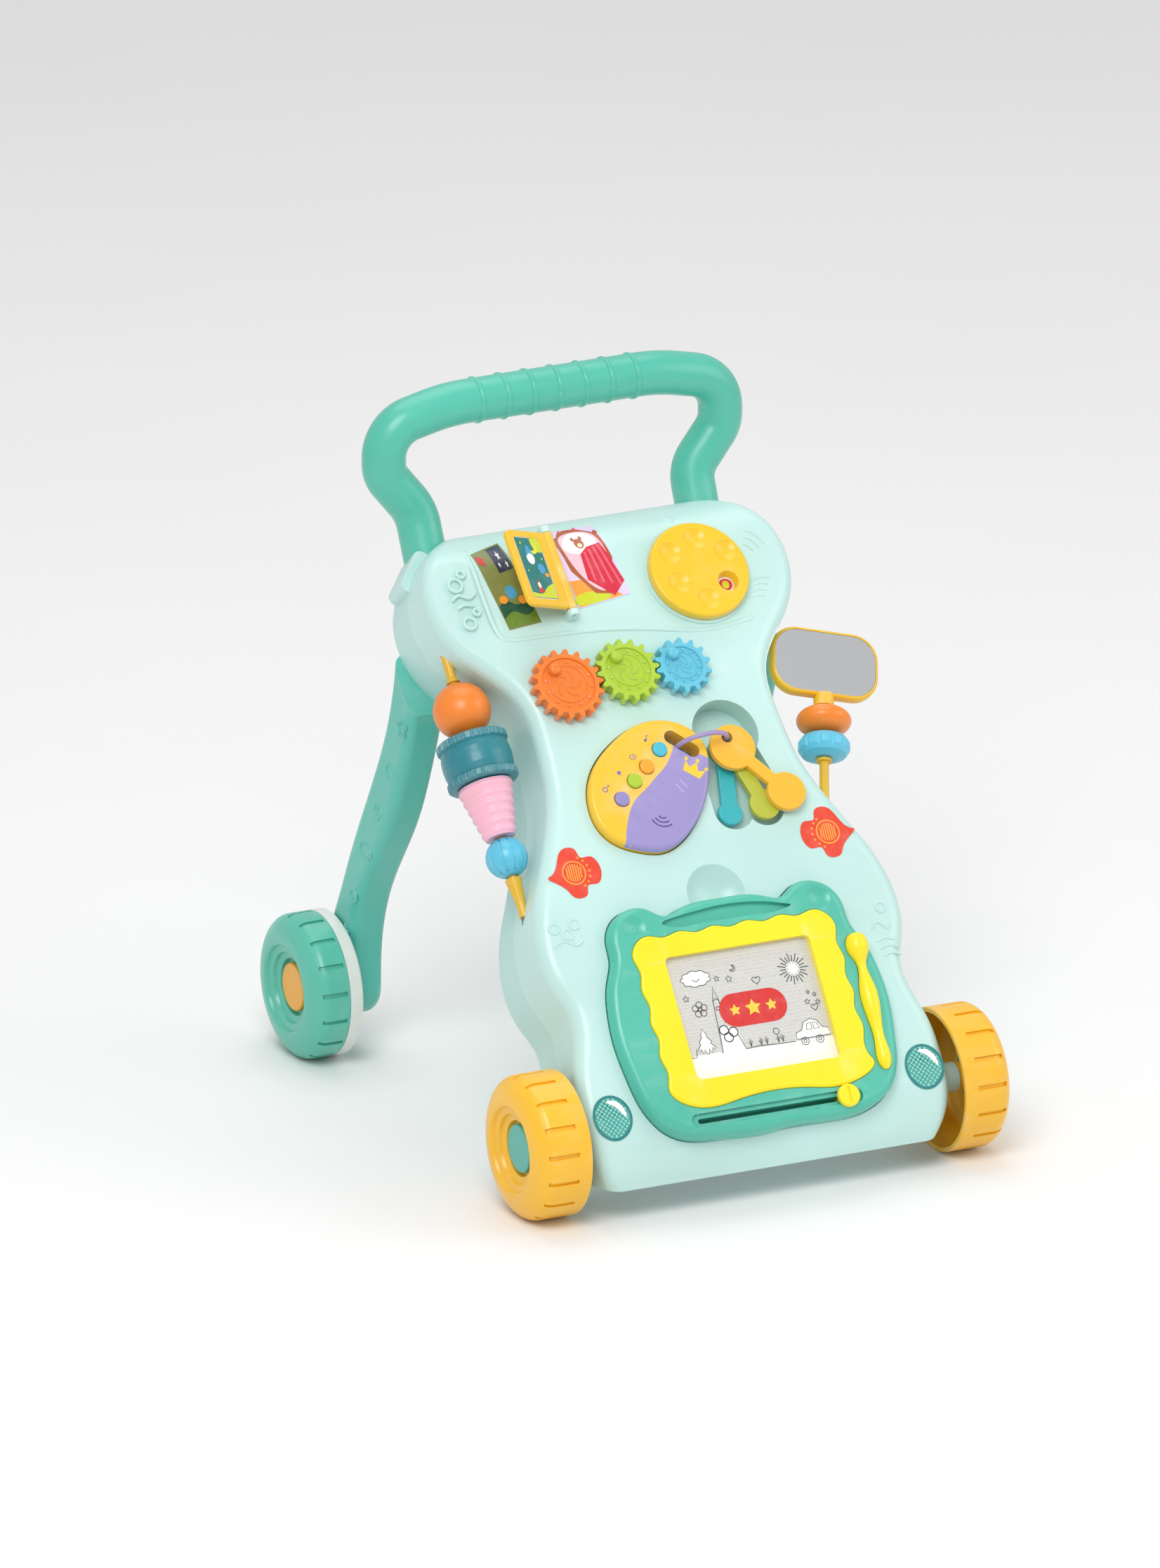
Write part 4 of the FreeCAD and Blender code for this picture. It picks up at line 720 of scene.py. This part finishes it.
def clipped(u, s, rx, ry, offset, family):
    """Part of a diagonal line that lies inside an ellipse, as a few points."""
    rows = []
    for i in range(41):
        t = -16 + 0.8 * i
        x, y = t + offset / 2, family * (t - offset / 2)
        if (x / rx) ** 2 + (y / ry) ** 2 < 1:
            rows.append((u + x, s + y))
    return rows[::2] + rows[-1:] if len(rows) > 4 else []


# ---- toy remote ----
REMOTE_AT = (0.0, 205.0)
REMOTE_TOP = 6.5
CROWN_AT = (9.0, 7.5)
CROWN_TURN = math.radians(-40)


def add_remote_prints():
    to_world = flat(face_place(*REMOTE_AT))
    top, high = REMOTE_TOP - 0.05, REMOTE_TOP + 0.08
    violet = drawing("remote_icons", "violet", "remote", to_world, "fob_yellow")
    icons = [(-17.0, 31.5), (-28.5, 22.0), (-41.0, 13.0), (-53.5, 3.5)]
    for k, (x, y) in enumerate(icons):
        if k == 0:
            violet.area(circle(x, y, 1.0, 12), top, high)
            violet.line([(x + 0.9, y), (x + 1.6, y + 3.4), (x + 3.0, y + 2.4)], 0.5, top, high)
        elif k == 1:
            violet.line([(x - 2, y - 1), (x - 2, y + 1), (x + 0.4, y + 2), (x + 0.4, y - 2)], 0.6,
                        top, high, True)
            violet.line([(x + 1.4, y - 1.4), (x + 2, y), (x + 1.4, y + 1.4)], 0.5, top, high)
        elif k == 2:
            violet.area(star(x, y, 2.0), top, high)
        else:
            violet.line(circle(x, y, 1.6, 16), 0.6, top, high, True)
            violet.area(circle(x + 2.6, y + 2.2, 0.7, 10), top, high)
    violet.done()
    crown = [(-6.0, -4.0), (6.0, -4.0), (7.2, 3.4), (3.2, 0.2), (0.0, 5.6), (-3.2, 0.2),
             (-7.2, 3.4)]
    yellow = drawing("remote_crown", "yellow", "remote", to_world, "fob_purple")
    yellow.area(scaled(crown, 1.0, *CROWN_AT, CROWN_TURN), top, high)
    for tip in ((-7.2, 4.4), (0.0, 6.6), (7.2, 4.4)):
        x, y = scaled([tip], 1.0, *CROWN_AT, CROWN_TURN)[0]
        yellow.area(circle(x, y, 1.2, 14), top, high)
    yellow.done()
    arcs = drawing("remote_speaker_arcs", "plum", "remote", to_world, "fob_purple")
    for k, r in enumerate((3.2, 6.0, 8.8)):
        bow = [(-20.5 + r * math.cos(a), -18.0 + r * math.sin(a))
               for a in [math.radians(198 + 9 * i) for i in range(12)]]
        arcs.line(bow, 0.9, top, high)
    arcs.done()
    waves = drawing("remote_waves", "lilac", "remote", to_world, "fob_purple")
    for k in range(2):
        bow = [(-6.0 + 3.4 * k + 4.0 * t, -0.5 + 2.6 * k - 5.5 * t + 0.5 * math.sin(6 * t))
               for t in [i / 8 for i in range(9)]]
        waves.line(bow, 0.7, top, high)
    waves.done()


# ---- gear faces ----
GEAR_AT = (-13.6, 284.0)
GEAR_FACE = 9.0
GEARS = {"orange": 18, "green": 16, "blue": 14}
PITCH_R_PER_TOOTH = 1.25
TOOTH_ROOM = 5


def add_gear_reliefs():
    """Moulded ring, swirl of small arcs and dots on each gear, in the gear's own plastic."""
    turn = face_place(*GEAR_AT).to_3x3().normalized().to_4x4()
    for name, teeth in GEARS.items():
        centre = Vector(JOINTS[f"gear_{name}_turn"]["pos_m"])
        place = Matrix.Translation(centre) @ turn @ Matrix.Scale(MM, 4)
        face_r = PITCH_R_PER_TOOTH * teeth - TOOTH_ROOM
        low, high = GEAR_FACE - 2.1, GEAR_FACE - 1.25
        piece = Drawing(f"gear_{name}_relief", material("gear_" + name), "gear_" + name,
                        flat(place), "gear_" + name)
        piece.line(circle(0, 0, 0.72 * face_r, 48), 1.1, low, high, True, True)
        for k in range(5):
            start = 2 * math.pi * k / 5
            swirl = [((1.8 + 1.55 * i) * math.cos(start + 0.3 * i) * face_r / 17,
                      (1.8 + 1.55 * i) * math.sin(start + 0.3 * i) * face_r / 17)
                     for i in range(6)]
            piece.line(smooth(swirl, 3, False), 1.0, low, high, False, True)
        for k in range(12):
            a = 2 * math.pi * (k + 0.5) / 12
            reach = 0.87 * face_r
            piece.area(circle(reach * math.cos(a), reach * math.sin(a), 0.8, 12), low, high)
        piece.done(40)


# ---- drawing board ----
BOARD_AT = (0.0, 52.0)
SCREEN_TOP = 5.8


def add_board_picture():
    place = flat(face_place(*BOARD_AT))
    base = SCREEN_TOP - 0.03

    def at(u, s):
        return 10 * u, 10 * s - BOARD_AT[1]

    def piece(name, colour):
        return drawing("board_" + name, colour, "drawing_board", place, "screen")
    white = piece("ground", "white")
    ground = [at(-4.98, 1.3), at(4.98, 1.3), at(4.98, 2.8), at(2.6, 2.8), at(-1.0, 2.8),
              at(-1.25, 4.2), at(-2.3, 4.6), at(-2.6, 2.8), at(-2.8, 2.9), at(-4.5, 2.9),
              at(-4.98, 2.75)]
    white.area(ground, base, base + 0.09)
    white.area(cloud(*at(-3.1, 7.8), 9.0, 4.6), base, base + 0.09)
    white.area(tree_outline(*at(-3.6, 2.9)), base, base + 0.1)
    white.area(car_outline(*at(3.7, 2.9)), base, base + 0.11)
    for x, y in ((-2.15, 4.25), (-1.55, 4.05), (-1.95, 3.75)):
        white.area(circle(*at(x, y), 3.2, 20), base, base + 0.11)
    white.area(star(*at(3.55, 7.45), 4.6, 0.6, 10), base, base + 0.09)
    white.done()
    lines = piece("lines", "black")
    high = base + 0.17

    def draw(points, closed=False, width=0.45):
        lines.line(points, width, base, high, closed)
    draw(cloud(*at(-3.1, 7.8), 9.0, 4.6), True)
    draw([at(-3.35, 7.75), at(-3.1, 7.6), at(-2.85, 7.75)])
    for x, y, r in ((-1.7, 7.6, 1.9), (-0.9, 7.45, 2.4), (-4.1, 6.6, 2.2), (0.9, 7.15, 0)):
        if r:
            draw(star(*at(x, y), r, 0.5), True)
    draw(heart(*at(0.9, 7.1), 2.8), True)
    draw(heart(*at(4.3, 4.8), 2.4), True)
    draw(crescent(*at(-0.5, 8.1), 2.0), True)
    for k in range(22):
        a = 2 * math.pi * k / 22
        near, far = 4.9, 8.6 if k % 2 else 10.4
        cx, cy = at(3.55, 7.45)
        draw([(cx + near * math.cos(a), cy + near * math.sin(a)),
              (cx + far * math.cos(a), cy + far * math.sin(a))], False, 0.55)
    for k in range(5):
        a = 2 * math.pi * k / 5 + 0.3
        cx, cy = at(-3.35, 5.8)
        draw(circle(cx + 3.1 * math.cos(a), cy + 3.1 * math.sin(a), 2.1, 14), True)
    draw(circle(*at(-3.35, 5.8), 1.5, 14), True)
    draw(tree_outline(*at(-3.6, 2.9)), True)
    draw([at(-2.6, 2.8), at(-2.35, 6.2), at(-2.15, 7.1), at(-1.95, 6.2), at(-1.9, 4.7)])
    draw([at(-2.35, 6.2), at(-2.15, 6.35), at(-1.95, 6.2)])
    draw(pill(*at(-2.15, 5.7), 0.2, 1.1), True)
    for x, y in ((-2.15, 4.25), (-1.55, 4.05), (-1.95, 3.75)):
        draw(circle(*at(x, y), 3.0, 20), True, 0.7)
    draw([at(-4.95, 2.75), at(-4.4, 2.8), at(-4.3, 3.3)])
    draw([at(-1.3, 3.9), at(-1.0, 2.85), at(0.0, 2.9), at(1.2, 2.82), at(2.4, 2.8)])
    for x in (-0.6, 0.1, 0.5, 1.3, 1.6):
        draw([at(x - 0.12, 3.25), at(x, 2.9), at(x + 0.12, 3.3)])
        draw([at(x, 2.9), at(x, 3.4)])
    draw(circle(*at(1.3, 3.65), 2.0, 12), True)
    draw(car_outline(*at(3.7, 2.9)), True)
    for dx in (-6.4, 3.8):
        x, y = at(3.7, 2.72)
        draw(circle(x + dx, y, 2.5, 18), True)
        draw(circle(x + dx, y, 1.0, 12), True)
    cx, cy = at(3.7, 2.9)
    draw([(cx - 3.6, cy + 5.2), (cx - 2.6, cy + 9.0), (cx + 0.2, cy + 9.6), (cx + 0.2, cy + 5.2)],
         True)
    draw([(cx + 1.6, cy + 5.2), (cx + 1.6, cy + 9.6), (cx + 4.0, cy + 8.6), (cx + 5.4, cy + 5.2)],
         True)
    for k, (x, y) in enumerate(((4.1, 5.8), (4.5, 5.6), (4.6, 5.1), (3.9, 5.2))):
        draw(star(*at(x, y), 1.3 + 0.2 * k, 0.5), True)
    lines.done()
    badge = piece("badge", "red")
    badge.area(pill(*at(0.2, 5.4), 12.2, 10.9, 14), base, base + 0.3)
    badge.done()
    stars = piece("badge_stars", "yellow")
    x, y = at(0.2, 5.4)
    for dx, r in ((-12.5, 4.0), (0.0, 5.6), (12.5, 4.0)):
        stars.area(star(x + dx, y, r, 0.5), base, base + 0.42)
    stars.done()


def tree_outline(x, y):
    half = [(0.0, 16.5), (2.2, 12.0), (1.4, 11.6), (4.4, 7.6), (3.2, 7.2), (6.0, 3.6), (5.0, 2.0),
            (4.2, 4.0), (3.0, 0.6), (1.6, 3.2), (0.6, 0.0)]
    return [(x - dx, y + dy) for dx, dy in half[::-1]] + [(x + dx, y + dy) for dx, dy in half[1:]]


def car_outline(x, y):
    shape = [(-11.5, 0.0), (-11.2, 4.0), (-7.0, 5.4), (-4.6, 10.4), (0.5, 12.0), (4.6, 10.4),
             (7.4, 5.6), (11.2, 4.6), (11.8, 0.0)]
    return [(x + dx, y + dy) for dx, dy in shape][::-1]


# ---- moulded reliefs on the casing ----
def add_casing_reliefs():
    """Low beads and doodles standing out of the casing's face, in the casing's own plastic."""
    piece = Drawing("casing_reliefs", material("mint"), "casing", on_skin, "mint")
    low, high = -0.4, 0.8

    def bead(points, closed=False, width=1.9, top=high):
        piece.line(points, width, low, top, closed, True)
    bead(finely(smooth([(-88.5, 388), (-88.5, 350), (-87, 326), (-80, 319.5), (-55, 318.5),
                        (-20, 317), (10, 313), (50, 306), (85, 309)], 5, False)), False, 3.4)
    for k in range(3):
        r = 8 + 5 * k
        bead([(92 + r * math.cos(a), 352 + r * math.sin(a))
              for a in [math.radians(10 + 9 * i) for i in range(8)]])
    for k in range(4):
        bead(smooth([(90 - 2 * k, 334 - 4 * k), (98 - 2 * k, 335.5 - 4 * k),
                     (106 - 3 * k, 334 - 4 * k)], 4, False))
    for x, y, r in ((-104, 362, 4.5), (-98, 369, 2.5), (-103, 335, 4.0), (-96, 342, 2.2)):
        bead(circle(x, y, r, 18), True)
    bead(smooth([(-110, 352), (-104, 355), (-98, 352), (-92, 355)], 4, False))
    bead(smooth([(-108, 346), (-102, 348), (-96, 346)], 4, False))
    bead([(20, 384), (24, 378)])
    bead([(26, 386), (28, 379)])
    bead(smooth([(46, 384), (50, 387), (55, 384), (58, 387)], 4, False))
    for x, y in ((-112, 126), (-104, 121), (-98, 127)):
        bead(circle(x, y, 3.4, 16), True)
    bead(smooth([(-116, 114), (-108, 117), (-100, 113), (-94, 117)], 4, False))
    bead(smooth([(98, 92), (103, 97), (109, 92), (112, 97)], 4, False))
    for k in range(3):
        y = 84 - 5 * k
        bead(smooth([(99 + k, y), (105 + k, y + 2), (112 + k, y)], 4, False))
    bead(circle(108, 106, 3.2, 16), True)
    piece.done(60)


LEG_SIDE_X = 130.0
LEG_LINE = ((66, 246), (84, 212), (101, 180), (120, 148), (138, 112), (150, 84))


def add_leg_reliefs():
    """Moulded doodles down the outer side of each rear leg."""
    for side, word in ((-1, "left"), (1, "right")):
        piece = Drawing(f"leg_reliefs_{word}", material("teal_leg"), "casing",
                        lambda x, y, z: Vector((side * (LEG_SIDE_X + z), side * x, y)) * MM,
                        "teal_leg")
        shapes = (star(0, 0, 6.5, 0.5), circle(0, 0, 5.0, 20), heart(0, 0, 5.5),
                  cloud(0, 0, 7.0, 4.5), circle(0, 0, 4.2, 20), star(0, 0, 5.5, 0.5))
        for (y, z), shape in zip(LEG_LINE, shapes):
            outline = [(side * y + px, z + py) for px, py in shape]
            piece.line(outline, 1.6, -0.3, 0.7, True, True)
        piece.done(60)


# ---- the floor, the light and the camera ----
FLOOR_SIZE = 12.0
LIGHT_AIM = Vector((0, 0, 0.2))
WORLD_STRENGTH = 0.68
CAMERA_AZIMUTH = math.radians(-25.83)
CAMERA_ELEVATION = math.radians(19.45)
CAMERA_DISTANCE = 20.0
PIXELS_PER_METRE = 2276.0
IMAGE = (1652, 2233)
AIM = Vector((0, 0.003, 0.2))
AIM_PIXEL = (901.6, 1137.15)
SENSOR = 36.0
CLIP_END = 100


def add_floor():
    bpy.ops.mesh.primitive_plane_add(size=FLOOR_SIZE)
    floor = bpy.context.object
    floor.name = "floor"
    n = Nodes("floor")
    n.link(n.mix(n.noise(3.0), (0.86, 0.86, 0.86), (0.9, 0.9, 0.9)), n.shader.inputs["Base Color"])
    n.set(Roughness=0.9)
    floor.data.materials.append(n.material)


def add_light(name, place, size, power):
    lamp = bpy.data.lights.new(name, "AREA")
    lamp.shape = "DISK"
    lamp.size = size
    lamp.energy = power
    light = bpy.data.objects.new(name, lamp)
    light.location = place
    light.rotation_euler = (LIGHT_AIM - Vector(place)).to_track_quat("-Z", "Y").to_euler()
    bpy.context.scene.collection.objects.link(light)


def add_lights():
    add_light("key", (-1.2, -1.6, 2.4), 1.6, 40)
    add_light("fill", (2.2, -1.4, 1.6), 2.0, 15)
    add_light("top", (0.2, 0.8, 2.6), 2.2, 18)
    world = bpy.data.worlds.new("studio")
    world.use_nodes = True
    tree = world.node_tree
    background = tree.nodes["Background"]
    background.inputs["Strength"].default_value = WORLD_STRENGTH
    direction = tree.nodes.new("ShaderNodeTexCoord").outputs["Generated"]
    split = tree.nodes.new("ShaderNodeSeparateXYZ")
    tree.links.new(direction, split.inputs["Vector"])
    ramp = tree.nodes.new("ShaderNodeMapRange")
    for socket, value in (("From Min", -0.1), ("From Max", 0.9), ("To Min", 1.0),
                          ("To Max", 0.8)):
        ramp.inputs[socket].default_value = value
    tree.links.new(split.outputs["Z"], ramp.inputs["Value"])
    tree.links.new(ramp.outputs["Result"], background.inputs["Color"])
    bpy.context.scene.world = world
    bpy.context.scene.view_settings.view_transform = "Standard"


def add_camera():
    ca, sa = math.cos(CAMERA_AZIMUTH), math.sin(CAMERA_AZIMUTH)
    ce, se = math.cos(CAMERA_ELEVATION), math.sin(CAMERA_ELEVATION)
    back = Vector((sa * ce, -ca * ce, se))
    right = Vector((ca, sa, 0))
    up = back.cross(right)
    centre = AIM + right * ((IMAGE[0] / 2 - AIM_PIXEL[0]) / PIXELS_PER_METRE)
    centre += up * ((AIM_PIXEL[1] - IMAGE[1] / 2) / PIXELS_PER_METRE)
    data = bpy.data.cameras.new("camera")
    data.sensor_width = SENSOR
    data.lens = PIXELS_PER_METRE * CAMERA_DISTANCE * SENSOR / IMAGE[1]
    data.clip_end = CLIP_END
    camera = bpy.data.objects.new("camera", data)
    camera.location = centre + back * CAMERA_DISTANCE
    camera.rotation_euler = (-back).to_track_quat("-Z", "Y").to_euler()
    bpy.context.scene.collection.objects.link(camera)
    bpy.context.scene.camera = camera


dress_frame()
add_book_prints()
add_page_picture()
add_dial_pictures()
add_speaker_prints()
add_headlight_prints()
add_remote_prints()
add_gear_reliefs()
add_board_picture()
add_casing_reliefs()
add_leg_reliefs()
add_floor()
add_lights()
add_camera()
